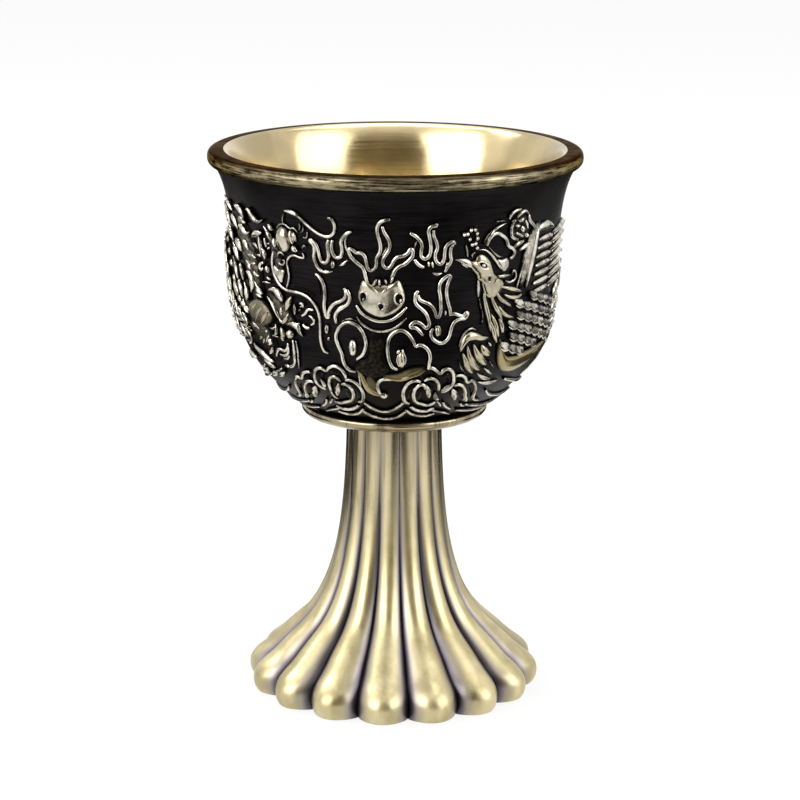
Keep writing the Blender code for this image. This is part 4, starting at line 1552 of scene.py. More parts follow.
class FlameTufts(Motif):
    """The four tufts of flame round the pearl."""

    drawn = (
        # Three prongs, left of the flame
        Wire(((-6.6, 55.25), (-7.2, 55.5), (-7.65, 56.1), (-7.85, 56.9), (-7.75, 57.8), (-7.9, 58.4),
              (-8.25, 58.85), (-7.75, 58.65), (-7.4, 58.1), (-7.22, 57.4), (-7.05, 56.7), (-6.7, 56.35),
              (-6.3, 56.45), (-6.05, 56.95), (-6.08, 57.8), (-6.12, 58.6), (-5.95, 59.1))),
        Wire(((-5.5, 59.1), (-5.65, 58.3), (-5.5, 57.5), (-5.1, 57.08), (-4.7, 57.15), (-4.45, 57.6),
              (-4.45, 58.3), (-4.5, 58.9), (-4.25, 59.5), (-3.8, 60.0), (-3.25, 60.25))),
        Wire(((-3.55, 60.0), (-3.9, 59.5), (-4.0, 58.8), (-3.85, 58.1), (-3.6, 57.6)), 0.32),
        Leaf(((-4.85, 56.1), (-4.3, 56.4), (-3.75, 56.95)), 0.55, 0.5),
        Bead((-5.55, 56.2), 1.05, 0.65, 92, 0.55),
        Leaf(((-7.1, 55.3), (-6.4, 55.3), (-5.55, 55.4)), 0.6, 0.5),
        # Three prongs, right of the flame
        Wire(((3.15, 60.2), (3.7, 59.9), (4.2, 59.4), (4.5, 58.7), (4.42, 57.9), (4.5, 57.4), (4.9, 57.15),
              (5.3, 57.4), (5.5, 58.1), (5.45, 59.0), (5.3, 59.8), (5.2, 60.5), (5.5, 60.95), (6.0, 61.05),
              (6.1, 61.3))),
        Wire(((5.75, 60.5), (5.8, 59.8), (6.1, 59.1), (6.25, 58.4), (6.05, 57.7), (6.1, 57.0), (6.4, 56.55),
              (6.75, 56.5), (7.05, 57.0), (7.1, 57.8), (7.2, 58.4), (7.6, 58.85), (8.1, 59.0),
              (8.3, 58.7))),
        Wire(((8.05, 58.7), (7.8, 58.1), (7.8, 57.4), (7.9, 56.8), (7.6, 56.2), (7.2, 55.5))),
        Wire(((3.7, 57.1), (4.0, 56.65), (4.4, 56.3), (4.8, 56.15)), 0.5),
        Bead((5.3, 56.5), 0.85, 0.4, 92, 0.5),
        Bead((5.75, 56.4), 1.0, 0.4, 96, 0.5),
        Leaf(((5.7, 55.5), (6.3, 55.25), (7.0, 55.4)), 0.5, 0.35, dull=0.3),
        Leaf(((7.2, 55.9), (7.45, 56.4), (7.5, 56.7)), 0.4, 0.4),
        Wire(((3.6, 58.2), (3.8, 58.9), (3.95, 59.3)), 0.26),
        # Beside the pearl on the left
        Wire(((-7.75, 54.95), (-7.2, 54.5), (-6.85, 53.9), (-6.65, 53.1), (-6.66, 52.2), (-6.75, 51.3),
              (-6.65, 50.5), (-6.35, 49.9), (-6.2, 50.5), (-5.9, 51.15), (-5.4, 51.65), (-4.8, 51.95),
              (-4.3, 52.3), (-4.05, 52.8), (-4.05, 53.25), (-3.75, 52.95), (-3.62, 52.4), (-3.85, 51.75),
              (-4.5, 51.2), (-5.1, 50.75), (-5.4, 50.1), (-5.3, 49.3))),
        Leaf(((-4.1, 51.65), (-4.9, 51.1), (-5.35, 50.4)), 0.5, 0.4),
        Bead((-4.25, 53.45), 0.5, 0.3, 30, 0.4),
        Bead((-6.5, 48.5), 1.25, 0.65, 86, 0.6),
        Bead((-6.35, 47.35), 0.6, 0.4, 70, 0.35),
        Wire(((-7.7, 54.6), (-7.45, 53.9), (-7.3, 53.2), (-7.32, 52.5)), 0.22, 0.05),
        Wire(((-6.0, 51.75), (-5.4, 52.15), (-4.8, 52.35), (-4.4, 52.6)), 0.2, 0.05),
        # Beside the pearl on the right
        Wire(((4.2, 53.4), (3.9, 53.0), (3.82, 52.4), (4.05, 51.75), (4.6, 51.25), (5.1, 50.7), (5.4, 50.0),
              (5.5, 49.3), (5.2, 48.97), (4.8, 49.3), (4.4, 49.6), (3.9, 49.72), (3.5, 49.5), (3.35, 49.15),
              (3.9, 49.05), (4.4, 48.65), (4.8, 48.1))),
        Wire(((4.2, 52.9), (4.35, 52.4), (4.75, 52.12), (5.3, 51.9), (5.8, 51.5), (6.15, 50.9), (6.5, 50.2),
              (6.8, 50.7), (6.82, 51.6), (6.75, 52.6), (6.6, 53.5), (6.75, 54.3), (7.2, 54.8), (7.85, 55.0),
              (7.7, 54.4), (7.5, 53.7), (7.5, 52.7), (7.7, 51.8), (7.95, 51.0), (8.0, 50.3))),
        Wire(((8.0, 50.4), (8.5, 50.5), (9.0, 50.3), (9.6, 50.15), (10.1, 50.5), (9.9, 49.9), (9.2, 49.8),
              (8.7, 49.6), (8.3, 49.1), (8.1, 48.4), (7.9, 47.7), (7.4, 47.2), (6.9, 47.1), (6.3, 47.4),
              (5.9, 47.8), (5.75, 48.4), (6.0, 48.9))),
        Bead((6.5, 48.5), 1.4, 0.75, 95, 0.6, gilt=0.4),
        Wire(((6.2, 49.0), (6.5, 49.15), (6.8, 48.6), (6.75, 48.1)), 0.24, 0.35),
        Bead((7.45, 50.6), 0.7, 0.35, 92, 0.3),
    )


class CloudRosettes(Motif):
    """The pairs of curled cloud rosettes along the foot of the bowl."""

    right: tuple[Stroke, ...] = (
        petal(1.2, (3.4, 39.6), (3.3, 40.9), (4.1, 42.0)),
        petal(1.2, (5.0, 39.5), (4.8, 40.5), (5.2, 41.4)),
        petal(0.9, (5.6, 42.3), (6.7, 41.9), (7.2, 40.9)),
        petal(1.0, (6.3, 43.5), (7.4, 42.9), (8.6, 43.0), (8.9, 41.7)),
        Wire(((4.9, 42.3), (4.2, 42.5), (3.5, 42.25), (3.0, 41.7), (2.75, 40.9), (2.85, 40.1), (3.25, 39.4),
              (3.8, 39.2))),
        Wire(((5.7, 41.3), (5.5, 41.75), (5.0, 41.9), (4.5, 41.6), (4.2, 40.9), (4.3, 40.1), (4.8, 39.4),
              (5.6, 39.1), (6.6, 38.85), (7.3, 39.0), (7.7, 39.3))),
        Wire(((5.4, 42.4), (5.9, 42.7), (6.5, 42.65), (7.1, 42.2), (7.5, 41.6), (7.6, 41.0))),
        Leaf(((5.75, 41.85), (6.15, 41.0), (6.5, 40.0)), 0.85, 0.75, 0.4, 0.6, gilt=0.15),
        Wire(((5.7, 44.1), (6.2, 44.05), (6.8, 43.65), (7.3, 43.3), (7.7, 43.7), (8.3, 43.8), (8.9, 43.4),
              (9.3, 42.6), (9.4, 41.8), (9.1, 41.2), (8.5, 40.8), (8.1, 40.7))),
        Leaf(((7.9, 40.9), (8.5, 41.2), (9.0, 41.7)), 0.6, 0.5, dull=0.2),
        Leaf(((7.2, 40.8), (7.5, 40.0), (8.3, 39.5)), 0.8, 0.45, dull=0.3),
        Wire(((4.1, 38.7), (4.8, 38.25), (5.8, 37.95), (7.0, 37.9), (8.0, 38.3)), 0.55),
        Wire(((8.0, 39.3), (8.6, 38.9), (9.0, 38.5)), 0.4),
        Wire(((3.4, 38.2), (4.4, 37.5), (5.8, 37.1), (7.4, 37.0), (8.8, 37.3)), 0.5),
    )
    left: tuple[Stroke, ...] = (
        petal(1.1, (-3.6, 39.7), (-3.4, 40.8), (-4.2, 41.9)),
        petal(1.1, (-5.2, 39.6), (-4.9, 40.6), (-5.4, 41.3)),
        petal(1.1, (-5.0, 42.9), (-6.0, 43.3), (-7.0, 42.9)),
        petal(1.1, (-7.6, 43.0), (-8.6, 42.4), (-8.7, 41.4)),
        Wire(((-7.5, 40.6), (-7.35, 41.7), (-6.8, 42.5), (-6.1, 42.6), (-5.6, 42.1))),
        Wire(((-5.6, 41.7), (-5.0, 41.75), (-4.45, 41.4), (-4.2, 40.7), (-4.4, 40.0), (-5.0, 39.4),
              (-6.0, 39.1), (-7.1, 38.85), (-7.9, 39.0))),
        Leaf(((-5.85, 41.9), (-6.3, 41.0), (-6.7, 40.0)), 0.85, 0.75, 0.4, 0.6, gilt=0.15),
        Wire(((-7.2, 43.3), (-6.6, 43.85), (-5.9, 44.05), (-5.2, 43.75), (-4.8, 43.1), (-4.7, 42.5))),
        Wire(((-4.9, 42.3), (-4.1, 42.35), (-3.4, 41.95), (-2.95, 41.3), (-2.8, 40.6), (-2.95, 39.9),
              (-3.4, 39.4), (-3.9, 39.3))),
        Wire(((-7.25, 43.25), (-8.0, 43.6), (-8.7, 43.3), (-9.2, 42.6), (-9.35, 41.8), (-9.0, 41.1),
              (-8.3, 40.7))),
        Leaf(((-8.5, 42.2), (-8.2, 41.4), (-8.4, 40.8)), 0.6, 0.5, dull=0.2),
        Wire(((-7.6, 40.5), (-7.4, 39.8), (-7.0, 39.5)), 0.4),
        Wire(((-4.1, 38.7), (-4.9, 38.25), (-6.0, 37.95), (-7.2, 37.9), (-8.2, 38.3)), 0.55),
        Wire(((-8.0, 39.3), (-8.6, 38.9), (-9.2, 38.5)), 0.4),
        Wire(((-3.5, 38.2), (-4.5, 37.5), (-5.9, 37.1), (-7.5, 37.0), (-8.9, 37.3)), 0.5),
    )
    outer: tuple[Stroke, ...] = (
        petal(0.9, (10.0, 42.3), (11.2, 41.7), (12.6, 41.2), (13.4, 40.0)),
        petal(0.9, (10.4, 41.1), (11.4, 40.5), (12.1, 39.5)),
        Wire(((9.6, 42.85), (10.4, 42.75), (11.1, 42.3), (11.6, 41.75), (12.1, 41.9), (12.8, 41.5),
              (13.4, 40.8), (13.8, 40.0), (14.2, 39.3), (15.0, 38.85), (16.2, 38.6))),
        Wire(((9.7, 41.5), (10.4, 41.55), (11.1, 41.25), (11.8, 40.6), (12.3, 39.8), (12.6, 39.1))),
        Leaf(((9.5, 41.05), (10.2, 40.3), (10.8, 39.3)), 0.95, 0.7, 0.4, 0.6, gilt=0.15),
        Wire(((9.1, 39.1), (9.6, 38.6), (10.4, 38.2), (11.4, 37.8)), 0.45),
        Wire(((12.6, 38.5), (13.2, 38.2), (13.9, 38.0)), 0.45),
        Leaf(((12.7, 39.6), (13.1, 39.1), (13.6, 38.7)), 0.6, 0.4),
    )
    outer_step: float = -0.15
    bud: Bead = Bead((0.0, 40.7), 1.9, 0.9, 90, 0.7, gilt=0.15)
    half_peony: tuple[Stroke, ...] = (
        Wire(((0.3, 42.1), (0.9, 42.3), (1.5, 41.9), (1.7, 41.0), (1.4, 40.1), (0.8, 39.5))),
        Wire(((0.2, 43.3), (1.0, 43.6), (2.0, 43.2), (2.7, 42.4), (2.9, 41.4), (2.7, 40.4), (2.2, 39.4))),
        Leaf(((0.6, 42.7), (1.9, 42.2), (2.2, 41.0), (1.8, 39.8)), 1.1, 0.3, 0.7, 0.7, dull=0.65),
    )
    peonies: tuple[float, ...] = (34.0, 40.8, 47.6, -34.0, -40.8, -47.6)

    def strokes(self) -> list[Stroke]:
        """What the motifs are drawn with: four rosettes in front, and plainer ones behind.

        Returns:
            The strokes.
        """
        strokes = [*self.right, *self.left, *self.outer, *moved(self.outer, self.outer_step, -1.0)]
        for place in self.peonies:
            strokes += moved([self.bud, *self.half_peony], place) + moved(self.half_peony, place, -1.0)
        return strokes


class BackPanel(Motif):
    """The pearl, cloud, flames and rosettes of the front, once more on the unseen side."""

    half_way: float = math.pi * Bowl.sheet_radius

    def strokes(self) -> list[Stroke]:
        """What the panel is drawn with."""
        strokes = FlamingPearl().strokes() + CloudScroll().strokes() + FlameTufts().strokes()
        return moved([*strokes, *CloudRosettes.right, *CloudRosettes.left], self.half_way)


class WaveBorder(Motif):
    """The arcs of sea along the foot of the bowl."""

    drawn = (
        Wire(((-3.0, 39.2), (-2.2, 38.5), (-1.2, 38.05), (-0.1, 37.85), (1.0, 38.05), (2.0, 38.55),
              (2.9, 39.3)), 0.5, 0.15),
        Wire(((-4.0, 38.0), (-3.0, 37.25), (-1.6, 36.75), (0.0, 36.55), (1.6, 36.75), (2.7, 37.25),
              (3.4, 37.9)), 0.55, 0.15),
    )
    right: tuple[Stroke, ...] = (
        Wire(((13.8, 38.25), (16.0, 37.85), (19.0, 37.45), (23.0, 37.3), (34.0, 37.9), (45.0, 37.4),
              (54.0, 37.9), (61.2, 37.6)), 0.5),
        Wire(((13.0, 37.4), (16.0, 37.0), (20.0, 36.65), (25.0, 36.5), (35.0, 37.0), (45.0, 36.6),
              (54.0, 37.0), (61.2, 36.7)), 0.5),
        Wire(((7.8, 37.9), (9.2, 37.6), (11.0, 37.2), (12.6, 36.75)), 0.4),
        Wire(((16.0, 40.0), (17.4, 39.3), (19.5, 38.8), (23.0, 38.4), (27.0, 38.4)), 0.45),
        Wire(((18.5, 41.2), (21.0, 40.6), (24.0, 40.0), (28.0, 39.6)), 0.5),
    )

    def strokes(self) -> list[Stroke]:
        """What the motif is drawn with."""
        return [*self.drawn, *self.right, *moved(self.right, 0.0, -1.0)]


class Phoenix(Motif):
    """The phoenix on the right."""

    drawn = (
        # Face, beak, eye and wattle
        Dome((12.2, 55.4), ((9.9, 56.5), (10.8, 56.6), (11.1, 57.1), (11.6, 57.3), (12.2, 57.05),
             (12.8, 56.4), (13.2, 55.5), (13.6, 54.6), (14.1, 54.2), (13.7, 53.3), (12.9, 53.1),
             (12.3, 53.4), (11.8, 53.9), (11.3, 54.2), (11.1, 54.8), (10.5, 55.5)), height=0.6, gilt=0.6),
        Leaf(((11.2, 55.6), (10.2, 56.2), (9.2, 56.7), (8.35, 56.85)), 1.0, 0.5, 0.9, 0.15, gilt=0.15),
        Leaf(((10.1, 55.7), (9.5, 56.1), (9.1, 56.4)), 0.25, 0.3),
        Leaf(((11.4, 54.3), (11.45, 53.2), (11.5, 52.1)), 0.42, 0.45, 0.8, 0.8),
        Bead((11.8, 56.0), 1.65, 0.85, -28, 0.1, 0.52, dull=1.0),
        Wire(((11.05, 56.35), (11.5, 56.45), (12.1, 56.2), (12.6, 55.7), (12.2, 55.5), (11.6, 55.7),
              (11.05, 56.35)), 0.2, 0.55, 1.0, 1.0),
        Bead((11.8, 56.0), 0.5, 0.42, -20, 0.25, 0.55),
        Bead((12.63, 54.35), 0.7, 0.5, 90, 0.12, 0.52, dull=1.0),
        Wire(((12.35, 54.4), (12.6, 54.75), (12.95, 54.4), (12.65, 53.95), (12.35, 54.4)),
             0.2, 0.52, 1.0, 1.0),
        # Comb, brow, ear and the plumes over the head
        Leaf(((11.1, 57.75), (12.0, 57.75), (12.9, 57.1), (13.6, 56.3), (14.2, 55.5), (14.7, 55.0)),
             0.45, 0.45),
        Dome((14.8, 55.7), ((13.8, 56.3), (14.6, 56.4), (15.3, 56.5), (15.65, 55.9), (15.5, 55.1),
             (15.0, 54.8), (14.4, 55.2)), 0.5),
        Wire(((12.3, 58.2), (12.7, 59.1), (13.4, 59.55), (14.3, 59.2), (15.0, 58.6), (15.4, 57.8),
              (16.1, 57.4), (16.4, 56.9), (16.1, 56.4), (15.7, 56.3))),
        Wire(((12.6, 57.95), (13.4, 57.2), (14.0, 56.75), (14.7, 56.6)), 0.28),
        Leaf(((12.4, 58.9), (13.1, 59.9), (13.9, 60.4), (14.9, 60.65)), 0.4, 0.4, 0.4, 0.4),
        Wire(((11.8, 58.4), (12.2, 59.3), (12.9, 60.0)), 0.26),
        Wire(((12.0, 58.3), (12.45, 59.2), (13.0, 59.8)), 0.24),
        Wire(((13.2, 60.95), (13.9, 61.0), (14.5, 60.9)), 0.24),
        Wire(((15.05, 61.1), (15.3, 61.65), (15.9, 62.0), (16.6, 62.1))),
        Leaf(((16.3, 61.0), (16.6, 61.5), (17.2, 61.8), (17.8, 61.55), (18.3, 61.0)), 0.55, 0.5, 0.9, 0.3),
        Wire(((18.1, 61.2), (18.45, 60.5), (19.1, 59.95), (19.9, 59.3))),
        Wire(((15.9, 60.85), (15.65, 60.3), (15.6, 59.6), (15.75, 58.95), (16.2, 58.6), (16.8, 58.4))),
        Bead((15.8, 60.8), 0.7, 0.45, 20, 0.5),
        Bead((16.5, 60.1), 0.9, 0.45, -8, 0.5),
        Bead((17.4, 59.6), 1.1, 0.7, -50, 0.5),
        Bead((18.2, 58.75), 0.8, 0.6, -30, 0.55),
        Leaf(((16.15, 57.5), (17.0, 57.9), (18.0, 58.15)), 0.75, 0.45),
        Leaf(((17.2, 57.05), (18.2, 57.4), (19.2, 57.85)), 0.7, 0.45),
        Wire(((9.6, 58.5), (9.75, 57.9), (9.9, 57.1)), 0.3),
        Wire(((10.45, 56.9), (10.45, 57.3), (10.8, 57.55)), 0.3),
        Leaf(((14.0, 54.35), (15.0, 54.3), (16.2, 54.3)), 0.55, 0.4, 0.9, 0.5),
        Wire(((16.2, 54.3), (16.5, 54.75), (16.85, 54.3), (16.85, 53.85), (16.3, 53.5), (15.7, 53.5),
              (15.2, 53.75)), 0.34),
        *(Bead(grain, 0.62, 0.50, 70, 0.55, 0.1) for grain in (
            (9.25, 59.8), (9.65, 59.85), (10.05, 60.3), (10.55, 60.3), (10.8, 59.85), (10.9, 59.25),
            (9.95, 59.2), (10.3, 58.55), (10.7, 58.65), (10.95, 58.1),
        )),
        Bead((10.25, 59.6), 1.9, 1.3, 20, 0.3, dull=0.7),
        Bead((10.5, 58.4), 1.4, 0.9, 80, 0.3, dull=0.7),
        Dome((17.0, 59.8), ((15.6, 59.6), (15.9, 60.9), (17.0, 61.5), (18.0, 61.0), (18.7, 59.8),
             (18.6, 58.4), (17.0, 58.3), (16.0, 58.6)), 0.3, dull=0.6),
        Bead((16.9, 60.8), 0.9, 0.5, 30, 0.5, 0.1),
        Wire(((16.3, 59.3), (16.9, 59.0), (17.5, 58.7)), 0.34, 0.3),
        Wire(((17.6, 60.6), (18.0, 60.1), (18.2, 59.6)), 0.3, 0.3),
        # Hackles that spread from the throat
        *(Leaf(line, 0.66, 0.6, 0.7, 0.8, gilt=0.45) for line in (
            ((12.4, 53.1), (12.25, 52.2), (12.55, 51.0), (12.9, 49.9), (13.2, 48.8), (13.5, 47.7)),
            ((13.15, 52.9), (13.4, 51.7), (14.0, 50.6), (14.7, 49.6), (15.1, 48.5)),
            ((13.3, 50.05), (13.9, 49.0), (14.3, 48.0), (14.75, 46.95)),
            ((13.8, 52.8), (14.5, 51.7), (15.4, 51.1), (16.6, 50.4)),
            ((14.1, 53.2), (15.3, 52.9), (16.3, 52.6), (17.3, 52.3), (18.2, 51.9)),
            ((15.0, 52.15), (16.0, 51.7), (17.2, 51.5), (18.2, 51.75)),
            ((14.3, 50.9), (14.9, 50.1), (15.7, 49.5), (17.2, 49.0)),
            ((13.0, 49.6), (13.6, 48.4), (14.1, 47.2), (14.6, 46.3)),
            ((14.5, 49.4), (15.0, 48.4), (15.3, 47.4)),
        )),
        Wire(((11.6, 52.0), (11.85, 51.0), (12.15, 50.0), (12.1, 48.8)), 0.24),
        Dome((13.1, 53.2), ((11.9, 54.1), (12.1, 53.0), (12.5, 52.2), (13.3, 51.8), (14.1, 52.0),
             (14.9, 52.7), (15.1, 53.5), (14.2, 54.2), (13.0, 54.3)), 0.45, gilt=0.55),
        # Folded wing below the head
        *(Leaf(line, width, 0.55, 0.45, 0.8, gilt=0.6) for width, line in (
            (0.92, ((9.85, 45.7), (10.4, 44.7), (11.1, 43.6), (12.0, 42.85))),
            (1.02, ((10.35, 46.6), (10.9, 45.1), (11.8, 43.9), (13.0, 43.15))),
            (1.12, ((11.15, 46.7), (11.8, 45.5), (12.7, 44.5), (13.75, 43.75))),
            (1.12, ((12.3, 46.45), (12.9, 45.6), (13.9, 44.95))),
        )),
        Leaf(((13.3, 46.6), (13.55, 46.3), (13.9, 46.05)), 0.4, 0.4),
        Leaf(((9.55, 45.7), (9.75, 46.7), (10.3, 47.5), (11.2, 47.6), (12.2, 47.25), (13.4, 47.2)),
             1.25, 0.65, 0.6, 0.6, gilt=0.5),
        Wire(((9.3, 46.5), (9.5, 47.3), (9.9, 48.1), (10.7, 48.55), (11.4, 48.3)), 0.3),
        Wire(((9.5, 44.7), (9.9, 43.9), (10.8, 43.0)), 0.24),
        Leaf(((12.5, 42.85), (13.4, 42.25), (14.5, 41.85), (15.7, 41.6)), 0.6, 0.4, 0.5, 0.5, gilt=0.2),
        Leaf(((13.35, 43.4), (14.3, 42.85), (15.5, 42.2)), 0.42, 0.4, 0.4, 0.4),
        Leaf(((13.3, 41.5), (14.6, 41.2), (16.0, 41.1), (17.3, 41.2)), 0.5, 0.4),
        Wire(((13.9, 44.3), (14.5, 43.7), (15.1, 43.2)), 0.24),
        # Raised wing, without its barred quills
        Leaf(((17.9, 52.3), (18.5, 54.5), (19.2, 56.8), (19.9, 58.8), (20.9, 60.0)),
             2.3, 0.42, 0.7, 0.8, dull=0.3),
        Leaf(((18.9, 52.2), (19.3, 54.2), (19.8, 56.4), (20.2, 58.3), (20.7, 59.5)), 1.1, 0.6, 0.6, 0.8),
        Wire(((17.1, 52.5), (17.6, 54.0), (18.2, 55.6), (18.7, 57.2)), 0.36),
        Leaf(((20.3, 58.9), (21.6, 59.3), (23.2, 59.2), (25.0, 58.6)), 1.3, 0.55, 0.8, 0.4),
    )
    quills: int = 7
    belly: tuple[Stroke, ...] = (
        Leaf(((14.9, 47.3), (15.4, 45.2), (16.5, 43.7), (18.4, 43.2), (21.0, 43.4), (24.0, 43.8),
              (28.0, 44.6), (32.0, 45.4)), 2.5, 0.6, 0.5, 0.7, gilt=1.0, dull=0.1),
        Leaf(((15.4, 50.2), (18.0, 49.2), (21.0, 48.2), (25.0, 47.4)), 5.6, 0.3, 0.7, 0.8, dull=0.7),
    )
    lean: Sheet = (0.88, -0.47)
    feather_rows: int = 6
    row_feathers: int = 8
    feathers_end: float = 25.4
    plumes: tuple[tuple[Sheet, ...], ...] = (
        ((24.4, 45.7), (29.0, 46.3), (33.5, 45.7), (38.0, 46.1), (42.5, 47.6), (46.2, 47.0)),
        ((24.6, 47.5), (29.5, 48.5), (34.0, 49.0), (38.5, 50.8), (43.0, 52.5), (47.2, 51.8)),
        ((24.8, 49.2), (29.5, 50.6), (34.0, 52.6), (38.5, 55.3), (43.0, 57.2), (47.6, 56.6)),
    )
    barbs: int = 17
    curls: tuple[Sheet, ...] = (
        (35.5, 47.9), (40.5, 54.4), (36.0, 57.6), (41.0, 60.2), (37.0, 61.2), (47.5, 60.2), (49.0, 49.0),
    )
    eye_degrees: tuple[int, ...] = (-100, -66, -33, 0, 33, 66, 100)
    eye_steps: int = 10

    def strokes(self) -> list[Stroke]:
        """What the motif is drawn with."""
        return [*self.drawn, *self.barred_quills(), *self.body(), *self.tail()]

    def barred_quills(self) -> list[Stroke]:
        """The long quills of the raised wing, each with a covert and a rib.

        Returns:
            The strokes.
        """
        strokes: list[Stroke] = []
        for i in range(self.quills):
            height = 57.7 - 1.03 * i
            root = 20.9 - 0.12 * i
            reach = 12.2 - 0.55 * abs(i - 1)
            covert = ((root, height), (root + 2.0, height + 0.1), (root + 4.0, height + 0.05 * i))
            quill = (
                (root + 3.4, height + 0.25),
                (root + 6.4, height + 0.55),
                (root + 9.4, height + 0.75 - 0.1 * i),
                (root + reach, height + 0.45 - 0.22 * i),
            )
            strokes += [
                Leaf(covert, 0.85, 0.45, 0.7, 0.9),
                Leaf(quill, 1.0, 0.5, 0.8, 0.25, gilt=0.15),
                Wire(quill, 0.2, 0.5, 0.6, 0.4),
            ]
        return strokes

    def body(self) -> list[Stroke]:
        """The smooth belly, and the back with its rows of small feathers.

        Returns:
            The strokes.
        """
        strokes = list(self.belly)
        for row in range(self.feather_rows):
            for place in range(self.row_feathers):
                shift = place + 0.5 * (row % 2)
                root = Vector((14.9 + 0.45 * row + 1.55 * shift, 46.4 + 1.22 * row - 0.50 * shift))
                low = 45.2 + 0.05 * (root.x - 15.0)
                high = 52.4 - 0.14 * (root.x - 16.0)
                if low < root.y < high and root.x < self.feathers_end:
                    dull = 0.2 + 0.2 * ((row + place) % 2)
                    strokes += feather(root, Vector(self.lean), 2.15, 1.2, 0.2, dull)
        return strokes

    def tail(self) -> list[Stroke]:
        """The three long plumes that sweep to the back, their eyes, and the curls round them.

        Returns:
            The strokes.
        """
        strokes: list[Stroke] = []
        for plume in self.plumes:
            strokes += [
                Leaf(plume, 1.9, 0.24, 0.6, 0.8, dull=0.6),
                Leaf(plume, 0.5, 0.62, 0.7, 0.7, gilt=0.3),
            ]
            for i in range(self.barbs):
                place, along = spline(plume, 0.10 + 0.82 * i / (self.barbs - 1))
                for side in (1.0, -1.0):
                    root = place + 0.2 * side * across(along)
                    bend = place + 0.55 * along + 0.72 * side * across(along)
                    tip = place + 1.35 * along + 0.98 * side * across(along)
                    strokes.append(Leaf(places(root, bend, tip), 0.5, 0.42, 0.8, 0.2))
            strokes += self.eye(plume[-1])
        for place in self.curls:
            strokes += curl(place)
        return strokes

    def eye(self, place: Sheet) -> list[Stroke]:
        """The eye of a tail plume with its ring and its tips.

        Args:
            place: the plume's end.

        Returns:
            The strokes.
        """
        centre = Vector(place) + Vector((1.0, 0.0))
        turns = (math.tau * i / self.eye_steps for i in range(self.eye_steps + 1))
        ring = places(*(centre + Vector((1.45 * math.cos(turn), 1.15 * math.sin(turn))) for turn in turns))
        strokes: list[Stroke] = [
            Bead(tuple(centre), 2.6, 2.1, 0.0, 0.3, dull=0.5),
            Bead(tuple(centre), 1.35, 1.05, 0.0, 0.6, gilt=0.6),
            Wire(ring, 0.40, 0.25, 1.0, 1.0),
        ]
        for degrees in self.eye_degrees:
            foot = centre + 1.45 * ray(degrees)
            tip = centre + (2.5 if degrees else 2.9) * ray(degrees)
            strokes.append(Leaf(places(foot, (foot + tip) / 2, tip), 0.66, 0.45, 0.9, 0.2))
        return strokes


